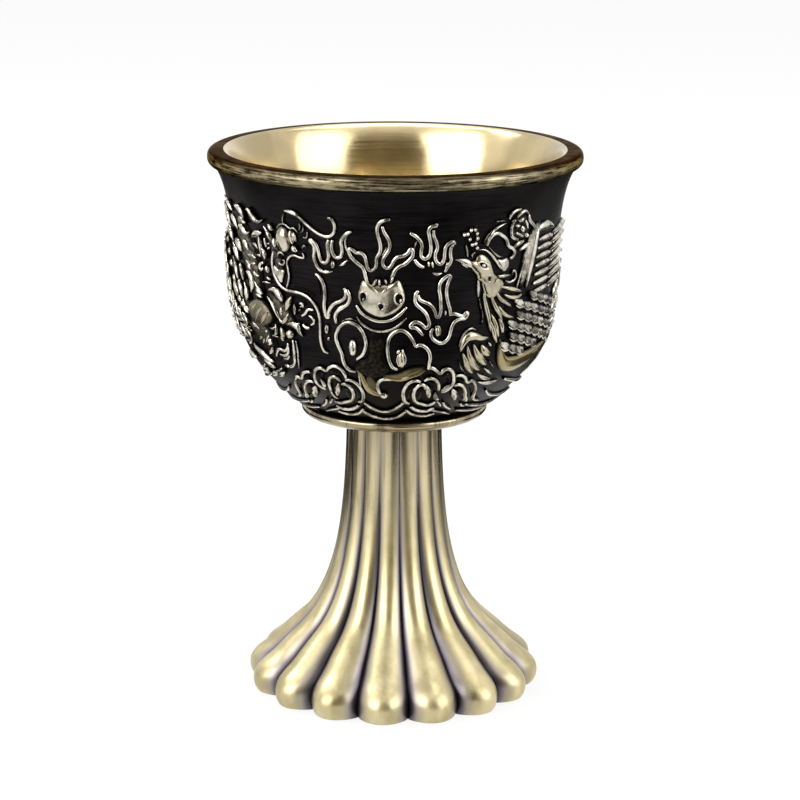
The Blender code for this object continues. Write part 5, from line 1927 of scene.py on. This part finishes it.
class Dragon(Motif):
    """The dragon on the left."""

    drawn = (
        # Low body that the head, mane and chest stand on
        Leaf(((-15.2, 59.4), (-13.6, 57.4), (-13.0, 55.6), (-12.6, 53.6)),
             2.0, 0.35, 0.8, 0.6, gilt=0.3, dull=0.55),
        Leaf(((-23.0, 61.0), (-20.4, 58.6), (-18.6, 55.6), (-17.6, 52.4), (-17.0, 49.0)),
             4.6, 0.36, 0.8, 0.8, gilt=0.3, dull=0.5),
        Leaf(((-22.0, 50.0), (-19.0, 48.4), (-16.4, 46.4), (-14.4, 44.8)),
             4.6, 0.38, 0.8, 0.6, gilt=0.5, dull=0.5),
        Leaf(((-15.4, 52.0), (-13.6, 50.4), (-12.0, 49.0), (-10.6, 48.0)),
             2.8, 0.36, 0.8, 0.6, gilt=0.5, dull=0.5),
        # Muzzle with its lump, nostril, jaw and tongue
        Bead((-11.9, 58.55), 3.3, 2.3, 92, 0.95, gilt=0.3),
        Bead((-10.75, 58.9), 1.9, 0.75, 100, 0.6, gilt=0.2),
        Wire(((-12.85, 59.7), (-12.3, 60.25), (-11.5, 60.35), (-10.9, 60.0), (-10.3, 60.05), (-9.8, 59.6)),
             0.3),
        Wire(((-11.5, 61.6), (-11.75, 61.0), (-11.75, 60.4)), 0.28),
        Bead((-10.3, 59.0), 1.3, 0.45, 105, 0.45),
        Wire(((-9.5, 60.7), (-9.45, 60.3), (-9.6, 59.9)), 0.28),
        Wire(((-9.0, 60.4), (-9.1, 59.9), (-9.5, 59.6)), 0.28),
        Wire(((-8.5, 59.8), (-8.75, 59.1), (-9.15, 59.1)), 0.3),
        Wire(((-8.85, 58.0), (-9.1, 58.1), (-9.35, 57.8)), 0.32),
        Wire(((-12.0, 56.6), (-12.6, 56.9), (-13.0, 56.5), (-12.95, 55.8), (-12.6, 55.45), (-12.15, 55.55),
              (-12.0, 55.95), (-12.3, 56.0)), 0.32),
        Dome((-12.9, 54.3), ((-13.8, 55.2), (-12.9, 54.85), (-12.1, 54.8), (-12.3, 53.9), (-12.7, 53.2),
             (-13.4, 53.6), (-13.9, 54.4)), 0.4),
        Wire(((-11.9, 52.75), (-11.6, 53.4), (-11.4, 54.2), (-11.5, 55.1), (-11.6, 55.9), (-11.25, 56.5),
              (-10.6, 56.8), (-9.8, 56.65), (-9.2, 56.75), (-9.35, 57.2)), 0.34),
        # The two long feelers
        Leaf(((-11.5, 62.0), (-10.7, 62.0), (-9.8, 61.75), (-9.0, 61.15)), 0.7, 0.45, 0.6, 0.4),
        Wire(((-10.0, 61.85), (-9.2, 61.3), (-8.4, 60.6), (-7.5, 59.95), (-6.7, 59.55), (-5.95, 59.5),
              (-5.4, 59.85), (-5.15, 60.5), (-5.25, 61.2), (-5.6, 61.7), (-5.9, 61.7)), 0.44),
        Wire(((-13.4, 57.2), (-13.8, 56.5), (-14.0, 55.5), (-13.85, 54.4), (-13.4, 53.5), (-12.8, 52.9),
              (-12.0, 52.55), (-11.0, 52.45), (-10.0, 52.4), (-9.0, 52.1), (-8.2, 51.5), (-7.65, 50.7),
              (-7.4, 49.8), (-7.35, 48.6), (-7.4, 47.4), (-7.3, 46.5), (-7.0, 45.8), (-6.5, 45.6)),
             0.48, 0.12),
        Wire(((-10.8, 53.0), (-9.7, 52.95), (-8.8, 52.7), (-8.0, 52.25)), 0.22, 0.05),
        # Banded leg and haunch
        Wire(((-11.35, 46.6), (-11.4, 45.6), (-11.6, 44.6), (-11.9, 43.7), (-12.4, 43.25), (-13.1, 43.0)),
             0.46),
        Wire(((-10.9, 46.6), (-10.85, 45.5), (-11.1, 44.2), (-11.4, 43.1)), 0.32),
        Wire(((-12.2, 46.1), (-12.6, 45.3), (-13.2, 45.05), (-13.9, 45.15), (-14.5, 44.7), (-14.9, 44.1)),
             0.44),
        Wire(((-12.2, 45.6), (-12.7, 44.7), (-13.4, 44.4), (-14.1, 44.45)), 0.44),
        Wire(((-12.4, 44.5), (-12.9, 44.1), (-13.6, 43.95)), 0.4),
        Leaf(((-14.0, 43.1), (-13.4, 43.05), (-12.9, 43.0)), 0.5, 0.4),
        Leaf(((-20.0, 44.8), (-18.6, 44.0), (-17.2, 43.4), (-16.1, 43.1)), 1.2, 0.6, 0.7, 0.4),
        Leaf(((-18.6, 43.1), (-17.4, 42.6), (-16.4, 42.3)), 0.8, 0.5),
        Leaf(((-17.8, 45.6), (-17.2, 46.0), (-16.6, 46.2)), 0.5, 0.4, gilt=0.6),
        Leaf(((-17.2, 45.2), (-16.7, 45.7), (-16.3, 46.2)), 0.45, 0.4, gilt=0.6),
        Leaf(((-19.1, 47.8), (-18.3, 47.4), (-17.4, 47.1), (-16.9, 46.9)), 0.6, 0.5),
        Leaf(((-16.2, 46.9), (-15.8, 47.0), (-15.5, 47.1)), 0.5, 0.45),
        Leaf(((-14.9, 46.6), (-14.3, 46.7), (-13.7, 46.6)), 0.35, 0.4),
    )
    chest: tuple[Stroke, ...] = (
        # Horns, ear and locks behind the muzzle
        Leaf(((-18.1, 61.2), (-17.3, 61.4), (-16.7, 60.7), (-16.0, 60.2), (-15.3, 60.25), (-14.7, 60.65)),
             0.8, 0.55, 0.4, 0.2),
        Leaf(((-17.3, 58.1), (-16.4, 58.6), (-15.2, 58.9)), 1.0, 0.55, 0.6, 0.5),
        Leaf(((-16.0, 58.5), (-15.7, 57.4), (-15.75, 56.1)), 0.6, 0.5, 0.9, 0.3),
        Leaf(((-17.4, 57.3), (-16.8, 57.2), (-16.1, 56.6)), 0.6, 0.35, dull=0.4),
        Leaf(((-20.6, 58.9), (-19.6, 58.9), (-18.7, 58.3), (-17.7, 58.6)), 0.9, 0.5, 0.8, 0.2),
        Leaf(((-20.9, 61.2), (-19.9, 61.3), (-19.0, 60.6), (-18.9, 59.8)), 0.9, 0.5),
        Leaf(((-22.5, 60.0), (-21.6, 59.4), (-20.8, 58.4)), 0.9, 0.5),
        Leaf(((-21.7, 57.2), (-20.8, 56.6), (-20.1, 55.8)), 1.3, 0.6),
        Leaf(((-19.4, 53.6), (-18.4, 53.5), (-17.85, 52.7), (-18.0, 51.8), (-18.4, 51.2)),
             0.95, 0.6, 0.7, 0.5),
        Dome((-16.4, 49.2), ((-18.8, 49.6), (-17.8, 50.5), (-16.4, 50.9), (-15.0, 50.5), (-14.1, 49.6),
             (-13.8, 48.8), (-14.8, 48.0), (-16.2, 47.6), (-17.8, 48.0)), 0.8, gilt=0.7, dull=0.42),
        Leaf(((-18.0, 48.6), (-17.3, 49.6), (-16.4, 50.4)), 0.55, 0.2, lift=0.62, gilt=0.8),
        Leaf(((-17.0, 48.1), (-16.3, 49.2), (-15.4, 50.1)), 0.55, 0.2, lift=0.66, gilt=0.8),
        Leaf(((-16.0, 47.9), (-15.3, 48.8), (-14.5, 49.6)), 0.55, 0.2, lift=0.64, gilt=0.8),
        Leaf(((-14.9, 52.1), (-13.8, 52.3), (-12.9, 51.7), (-12.5, 51.0)), 1.1, 0.5, 0.4, 0.8),
        Leaf(((-15.2, 51.4), (-14.3, 50.8), (-13.7, 50.0), (-13.2, 49.2), (-12.7, 48.85)), 0.55, 0.5),
        Wire(((-14.9, 58.3), (-14.8, 57.7), (-14.7, 57.3)), 0.34),
        Bead((-14.2, 57.75), 0.6, 0.3, 15, 0.4),
        Bead((-14.25, 57.2), 0.6, 0.3, 40, 0.4),
        Wire(((-15.4, 55.3), (-16.1, 54.9), (-16.0, 54.4), (-15.5, 54.6)), 0.4),
        Leaf(((-18.9, 55.7), (-17.6, 55.75), (-16.8, 55.6)), 0.45, 0.4),
        Leaf(((-16.6, 56.15), (-16.0, 56.05), (-15.7, 56.0)), 0.4, 0.4),
        Leaf(((-18.0, 54.8), (-17.4, 54.85), (-17.0, 55.0)), 0.4, 0.4),
        Leaf(((-17.5, 54.0), (-17.1, 53.6), (-16.4, 53.5)), 0.5, 0.4),
        Leaf(((-15.0, 53.7), (-14.5, 53.5), (-14.2, 53.5)), 0.4, 0.4),
        Leaf(((-15.9, 52.9), (-15.2, 53.0), (-14.3, 53.0)), 0.3, 0.35),
        # Raised claw in front of the chest
        Leaf(((-12.0, 50.0), (-11.6, 51.0), (-11.05, 51.9)), 0.85, 0.5, 0.6, 0.4, gilt=0.4),
        Leaf(((-10.7, 51.1), (-10.6, 50.4), (-10.65, 49.7)), 0.4, 0.45),
        Leaf(((-12.6, 50.5), (-12.7, 49.9), (-12.65, 49.4)), 0.4, 0.45),
        Leaf(((-13.3, 49.3), (-12.6, 48.6), (-11.9, 49.2), (-11.6, 49.9)), 0.6, 0.5, gilt=0.3),
        Leaf(((-12.0, 48.5), (-11.2, 48.6), (-10.4, 48.4), (-10.1, 47.8), (-9.6, 47.25)),
             0.9, 0.55, 0.8, 0.15, gilt=0.25),
        Leaf(((-10.9, 48.9), (-10.4, 48.7), (-10.05, 48.9)), 0.4, 0.4),
        Bead((-11.55, 47.35), 1.2, 1.1, 20, 0.65, gilt=0.3),
        Leaf(((-13.0, 48.0), (-12.7, 47.2), (-13.2, 46.5)), 0.8, 0.5, gilt=0.6),
        Leaf(((-13.8, 48.3), (-13.7, 47.3), (-14.4, 46.6)), 0.5, 0.5),
        Leaf(((-14.9, 47.7), (-14.4, 47.6), (-13.9, 47.9)), 0.4, 0.4),
        Leaf(((-12.9, 46.9), (-12.8, 46.6), (-12.8, 46.3)), 0.35, 0.4),
        Wire(((-9.95, 51.2), (-9.6, 51.2), (-9.45, 50.8)), 0.3),
        Wire(((-9.7, 49.75), (-9.2, 50.1), (-8.8, 50.6), (-8.1, 50.65)), 0.36),
        Wire(((-8.7, 49.9), (-8.3, 49.7), (-8.05, 49.2), (-8.5, 48.8)), 0.3),
        Wire(((-9.6, 48.75), (-9.2, 48.45), (-8.7, 48.45)), 0.42),
        Bead((-10.0, 50.4), 0.35, 0.25, 60, 0.3),
        Bead((-9.75, 50.85), 0.35, 0.25, 60, 0.3),
    )
    chest_lift: float = 0.18
    # Crowded locks, scales and flames at the neck
    blades: tuple[tuple[Sheet, ...], ...] = (
        ((-23.6, 61.6), (-22.6, 61.2), (-21.8, 60.4)), ((-25.0, 60.0), (-24.0, 59.6), (-23.2, 58.6)),
        ((-24.5, 58.0), (-23.4, 57.6), (-22.6, 56.6)), ((-19.6, 57.4), (-18.8, 56.9), (-18.2, 56.2)),
        ((-22.9, 56.0), (-21.9, 55.5), (-21.2, 54.5)), ((-21.0, 54.3), (-20.2, 53.4), (-20.1, 52.3)),
        ((-23.4, 54.2), (-22.4, 53.3), (-22.0, 52.0)), ((-21.9, 52.2), (-21.0, 51.2), (-20.8, 50.1)),
        ((-19.6, 51.8), (-19.3, 50.9), (-19.5, 50.0)), ((-24.0, 51.8), (-23.2, 50.8), (-22.8, 49.8)),
        ((-20.4, 49.6), (-19.8, 48.9), (-19.2, 48.6)), ((-22.4, 49.0), (-21.6, 48.2), (-20.6, 47.8)),
        ((-20.8, 47.2), (-19.8, 46.6), (-18.9, 46.5)), ((-22.6, 46.6), (-21.6, 45.8), (-20.6, 45.5)),
        ((-16.9, 52.3), (-16.4, 51.7), (-15.7, 51.5)), ((-17.2, 51.3), (-16.5, 51.2), (-15.9, 51.0)),
        ((-15.4, 57.0), (-15.0, 56.4), (-15.0, 55.7)), ((-14.9, 55.0), (-14.6, 54.6), (-14.4, 54.2)),
        ((-18.7, 54.6), (-18.2, 54.3), (-17.9, 54.2)), ((-19.9, 60.2), (-19.2, 59.7), (-18.4, 59.6)),
        ((-14.4, 59.4), (-13.9, 58.8), (-13.6, 58.0)), ((-14.0, 60.2), (-13.6, 59.7), (-13.2, 59.5)),
        ((-13.3, 58.6), (-13.2, 57.9), (-13.1, 57.4)), ((-10.6, 58.0), (-10.3, 57.6), (-9.8, 57.4)),
        ((-15.6, 45.4), (-15.2, 45.9), (-14.8, 46.2)), ((-15.9, 44.4), (-15.3, 44.7), (-14.9, 45.3)),
        ((-16.0, 41.6), (-15.0, 41.9), (-14.2, 42.3)), ((-18.0, 41.2), (-17.0, 41.6), (-16.0, 41.9)),
        ((-20.2, 41.6), (-19.2, 41.6), (-18.2, 42.1)), ((-22.2, 43.6), (-21.2, 43.1), (-20.2, 43.1)),
    )
    spine: tuple[Sheet, ...] = (
        (-19.0, 47.0), (-23.0, 48.4), (-26.6, 52.6), (-30.6, 55.2), (-34.6, 52.2), (-38.0, 48.2),
        (-42.0, 48.2), (-45.0, 52.0), (-47.4, 56.0), (-49.4, 58.4),
    )
    rings: int = 27
    tail_degrees: tuple[int, ...] = (60, 95, 130, 165, 200)
    claw_degrees: tuple[int, ...] = (-66, -22, 22, 66)
    curls: tuple[Sheet, ...] = (
        (-25.4, 46.0), (-36.0, 57.4), (-27.0, 59.6), (-36.4, 45.4), (-45.6, 46.6), (-33.0, 59.6),
        (-49.0, 50.6), (-44.6, 60.4), (-37.6, 54.0),
    )

    def strokes(self) -> list[Stroke]:
        """What the motif is drawn with: the chest's strokes stand on the low body.

        Returns:
            The strokes.
        """
        standing = [*self.chest, *self.locks()]
        raised = [replace(stroke, lift=stroke.lift + self.chest_lift) for stroke in standing]
        return [*self.drawn, *self.coil(), *raised]

    def locks(self) -> list[Stroke]:
        """The blades, in a few widths, and a fine line beside every other one.

        Returns:
            The strokes.
        """
        strokes: list[Stroke] = [
            Leaf(line, 0.55 + 0.09 * (i % 5), 0.5 + 0.05 * (i % 3), 0.7, 0.3, gilt=0.15 * (i % 2))
            for i, line in enumerate(self.blades)
        ]
        strokes += [Wire(tuple((s - 0.45, z + 0.35) for s, z in line), 0.26) for line in self.blades[::2]]
        return strokes

    def coil(self) -> list[Stroke]:
        """The scaled body on the unseen side, with its fins, tail, two legs and the curls round it.

        Returns:
            The strokes.
        """
        strokes: list[Stroke] = [Leaf(self.spine, 4.4, 0.70, 0.8, 0.2, dull=0.45)]
        for i in range(self.rings):
            place, along = spline(self.spine, 0.04 + 0.90 * i / (self.rings - 1))
            taper = min(1.0, 1.7 * (1.0 - i / (self.rings + 3)))
            strokes += self.ring(place, along, taper)
        foot = Vector(self.spine[-1])
        for degrees in self.tail_degrees:
            bend = foot + 1.3 * ray(degrees) + 0.3 * across(ray(degrees))
            strokes.append(Leaf(places(foot, bend, foot + 2.5 * ray(degrees)), 0.8, 0.5, 0.7, 0.15))
        strokes += self.limb(((-32.4, 52.0), (-31.2, 49.4), (-32.2, 47.2), (-30.8, 45.6)), 250)
        strokes += self.limb(((-41.6, 50.4), (-40.2, 53.4), (-41.6, 56.0), (-40.4, 58.0)), 75)
        for place in self.curls:
            strokes += curl(place)
        return strokes

    def ring(self, place: Vector, along: Vector, taper: float) -> list[Stroke]:
        """One ring of the coil: two scales, a belly bar and a fin.

        Args:
            place: where the ring crosses the spine.
            along: the spine's direction there.
            taper: its share of the full girth.

        Returns:
            The strokes.
        """
        aside = across(along)
        strokes: list[Stroke] = []
        for row, ahead in ((-0.25, 0.9), (0.55, 0.05)):
            root = place + 2.0 * row * taper * aside + ahead * along
            strokes += tile(root, -along, 1.9, 1.5 * taper, 0.62, 0.42)
        bar = place - 1.75 * taper * aside
        fin = place + 2.0 * taper * aside
        belly = places(bar + 0.5 * taper * aside, bar, bar - 0.35 * taper * aside)
        spike = places(fin, fin + 0.6 * aside + 0.25 * along, fin + 1.25 * aside + 0.9 * along)
        return strokes + [
            Leaf(belly, 1.15, 0.4, 0.8, 0.8, lift=0.22, gilt=0.35),
            Leaf(spike, 0.85, 0.45, 0.9, 0.15),
        ]

    def limb(self, bones: tuple[Sheet, ...], heading_degrees: float) -> list[Stroke]:
        """A leg of the unseen side with its flame of hair and four claws.

        Args:
            bones: the places from the hip to the foot.
            heading_degrees: where the claws point.

        Returns:
            The strokes.
        """
        strokes: list[Stroke] = [
            Leaf(bones, 1.9, 0.75, 1.0, 0.5, gilt=0.2, dull=0.15),
            Bead(bones[-1], 1.7, 1.4, heading_degrees, 0.7),
        ]
        foot = Vector(bones[-1])
        for degrees in self.claw_degrees:
            out = ray(heading_degrees + degrees)
            tip = foot + 2.0 * out + 0.35 * across(out)
            strokes.append(Leaf(places(foot, foot + 1.1 * out, tip), 0.62, 0.6, 0.8, 0.1))
        for i in range(3):
            root = Vector(bones[1]) + Vector((-0.7, 0.5 - 0.7 * i))
            hair = places(root, root + Vector((-1.0, 0.0)), root + Vector((-1.9, 0.6)))
            strokes.append(Leaf(hair, 0.55, 0.45, 0.9, 0.1))
        return strokes


MOTIFS: dict[str, type[Motif]] = {
    "relief_pearl": FlamingPearl,
    "relief_cloud": CloudScroll,
    "relief_flames": FlameTufts,
    "relief_rosettes": CloudRosettes,
    "relief_waves": WaveBorder,
    "relief_back_panel": BackPanel,
    "relief_phoenix": Phoenix,
    "relief_dragon": Dragon,
}


@dataclass
class Studio:
    """The floor, the lamps and the camera of the photograph."""

    distance: float = 325.07
    height: float = 116.985
    azimuth: float = math.radians(4.5)
    pitch: float = math.radians(14.043)
    roll: float = math.radians(0.264)
    lens: float = 123.27
    shift_x: float = 0.0072
    sensor: float = 36.0
    floor_size: float = 3.0
    floor_glow: float = 0.85
    room_level: float = 0.5
    lamp_aim: Triple = (0.0, 0.0, 0.04)
    # Name, place, size and watts of each soft box
    lamps: tuple[tuple[str, Triple, Sheet, float], ...] = (
        ("left_box", (-0.54, -0.54, 0.44), (0.66, 0.70), 5.0),
        ("right_box", (0.71, -0.30, 0.42), (0.62, 0.72), 3.5),
        ("spark", (-0.45, 0.20, 0.60), (0.16, 0.16), 1.2),
        ("top_box", (0.0, 0.15, 0.75), (0.7, 0.5), 3.0),
    )
    card_height: float = 0.0006
    # Name, place, size and shade of each dark card that lies on the floor
    floor_cards: tuple[tuple[str, Sheet, Sheet, Triple], ...] = (
        ("left_floor_flag", (-0.055, 0.155), (0.07, 0.19), (0.03, 0.026, 0.022)),
        ("right_floor_flag", (0.055, 0.155), (0.07, 0.19), (0.03, 0.026, 0.022)),
        ("left_side_flag", (-0.10, 0.035), (0.10, 0.09), (0.05, 0.043, 0.034)),
        ("right_side_flag", (0.10, 0.045), (0.10, 0.07), (0.09, 0.08, 0.06)),
        ("left_rim_flag", (-0.15, 0.18), (0.12, 0.17), (0.03, 0.026, 0.022)),
        ("right_rim_flag", (0.15, 0.18), (0.12, 0.17), (0.03, 0.026, 0.022)),
        ("floor_flag", (0.042, -0.32), (0.074, 0.54), (0.03, 0.024, 0.017)),
    )

    def camera(self) -> None:
        """Places the camera as in the photograph."""
        data = bpy.data.cameras.new("camera")
        data.lens = self.lens
        data.sensor_width = self.sensor
        data.shift_x = self.shift_x
        data.clip_start = 0.01
        data.clip_end = 20.0
        holder = bpy.data.objects.new("camera", data)
        turn = Matrix.Rotation(self.azimuth, 4, "Z")
        place = Matrix.Translation(MM * Vector((0.0, -self.distance, self.height)))
        tilt = Matrix.Rotation(math.pi / 2 - self.pitch, 4, "X")
        level = Matrix.Rotation(self.roll, 4, "Z")
        holder.matrix_world = turn @ place @ tilt @ level
        bpy.context.scene.collection.objects.link(holder)
        bpy.context.scene.camera = holder

    def floor(self) -> None:
        """Lays the pale floor."""
        made = bmesh.new()
        bmesh.ops.create_grid(made, x_segments=4, y_segments=4, size=self.floor_size)
        piece = finished("floor", made)
        sheet = ShaderSheet("pale_floor")
        sheet.set(Base_Color=(0.93, 0.93, 0.93), Roughness=0.9)
        output = sheet.tree.nodes["Material Output"]
        glow = sheet.add("ShaderNodeEmission")
        glow.inputs["Strength"].default_value = 1.0
        blend = sheet.add("ShaderNodeMixShader")
        share = sheet.math("MULTIPLY", self.seen(sheet.tree), self.floor_glow)
        sheet.link(share, blend.inputs[0])
        sheet.link(sheet.shader.outputs[0], blend.inputs[1])
        sheet.link(glow.outputs[0], blend.inputs[2])
        sheet.link(blend.outputs[0], output.inputs["Surface"])
        piece.data.materials.append(sheet.material)

    def seen(self, tree: bpy.types.NodeTree) -> Socket:
        """Whether a ray shows the background: seen directly, in metal or through glass.

        Args:
            tree: the nodes of the floor or of the world.

        Returns:
            1 where it does, otherwise 0.
        """
        paths = tree.nodes.new("ShaderNodeLightPath")
        total = paths.outputs["Is Camera Ray"]
        for other in ("Is Glossy Ray", "Is Transmission Ray"):
            larger = tree.nodes.new("ShaderNodeMath")
            larger.operation = "MAXIMUM"
            tree.links.new(total, larger.inputs[0])
            tree.links.new(paths.outputs[other], larger.inputs[1])
            total = larger.outputs[0]
        return total

    def world(self) -> None:
        """Lights the cup with a white room."""
        room = bpy.data.worlds.new("studio")
        room.use_nodes = True
        tree = room.node_tree
        back = tree.nodes["Background"]
        back.inputs["Color"].default_value = (1.0, 1.0, 1.0, 1.0)
        level = tree.nodes.new("ShaderNodeMapRange")
        level.inputs["To Min"].default_value = self.room_level
        level.inputs["To Max"].default_value = 1.0
        tree.links.new(self.seen(tree), level.inputs["Value"])
        tree.links.new(level.outputs["Result"], back.inputs["Strength"])
        bpy.context.scene.world = room

    def flag(self, name: str, place: Triple, size: Sheet, aim: Triple, shade: Triple) -> None:
        """Puts up a dark card that only the metal sees.

        Args:
            name: the card's name.
            place: its centre, in metres.
            size: its width and height, in metres.
            aim: the point that it faces.
            shade: how it shows in the metal.
        """
        made = bmesh.new()
        bmesh.ops.create_grid(made, x_segments=1, y_segments=1, size=0.5)
        bmesh.ops.scale(made, vec=(size[0], size[1], 1.0), verts=made.verts)
        turn = (Vector(aim) - Vector(place)).to_track_quat("Z", "Y").to_matrix().to_4x4()
        bmesh.ops.transform(made, matrix=Matrix.Translation(place) @ turn, verts=made.verts)
        card = finished(name, made)
        sheet = ShaderSheet(name)
        sheet.set(Base_Color=(0.0, 0.0, 0.0), Roughness=1.0, Specular_IOR_Level=0.0)
        sheet.set(Emission_Color=shade, Emission_Strength=1.0)
        card.data.materials.append(sheet.material)
        card.visible_camera = False
        card.visible_shadow = False
        card.visible_diffuse = False

    def lamp(self, name: str, place: Triple, size: Sheet, power: float) -> None:
        """Hangs one soft box, turned to the cup.

        Args:
            name: the lamp's name.
            place: where it hangs, in metres.
            size: its width and height, in metres.
            power: its watts.
        """
        data = bpy.data.lights.new(name, "AREA")
        data.shape = "RECTANGLE"
        data.size, data.size_y = size
        data.energy = power
        holder = bpy.data.objects.new(name, data)
        holder.location = place
        aim = Vector(self.lamp_aim) - holder.location
        holder.rotation_euler = aim.to_track_quat("-Z", "Y").to_euler()
        bpy.context.scene.collection.objects.link(holder)

    def build(self) -> None:
        """Sets up the whole studio."""
        self.camera()
        self.floor()
        self.world()
        for lamp in self.lamps:
            self.lamp(*lamp)
        self.flag(
            "front_flag", place=(0.17, -0.80, 0.42), size=(1.02, 0.90), aim=(0.0, 0.0, 0.06),
            shade=(0.18, 0.145, 0.085),
        )
        for name, (x, y), size, shade in self.floor_cards:
            self.flag(name, (x, y, self.card_height), size, (x, y, 1.0), shade)
        bpy.context.scene.view_settings.view_transform = "Standard"


def dress_inner_pieces() -> None:
    """Gives the CAD nodes that stay their finishes."""
    brass = FootFinish().build()
    steel = PlainFinish("zinc_plated", (0.62, 0.62, 0.60), 1.0, 0.32).build()
    resin = PlainFinish("cured_resin", (0.34, 0.28, 0.17), 0.0, 0.5).build()
    finishes = {
        "base_plate": brass,
        "stem_screw": steel,
        "spring_washer": steel,
        "flat_washer": steel,
        "bond_pad": resin,
    }
    for node, material in finishes.items():
        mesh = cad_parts[node].data
        mesh.materials.clear()
        mesh.materials.append(material)
        log.info("%s: finish %s", node, material.name)


def main() -> None:
    """Builds the cup and its studio."""
    logging.basicConfig(level=logging.INFO, format="%(message)s")
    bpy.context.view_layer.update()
    bowl = Bowl()
    bowl.build(PatinaFinish())
    Liner(bowl).build(LinerFinish(), LipFinish())
    Collar().build(FootFinish())
    Foot().build(FootFinish())
    carver = ReliefCarver(bowl, RubbedFinish().build())
    for name, motif in MOTIFS.items():
        carver.carve(name, motif().strokes())
    dress_inner_pieces()
    Studio().build()


if __name__ == "__main__":
    main()
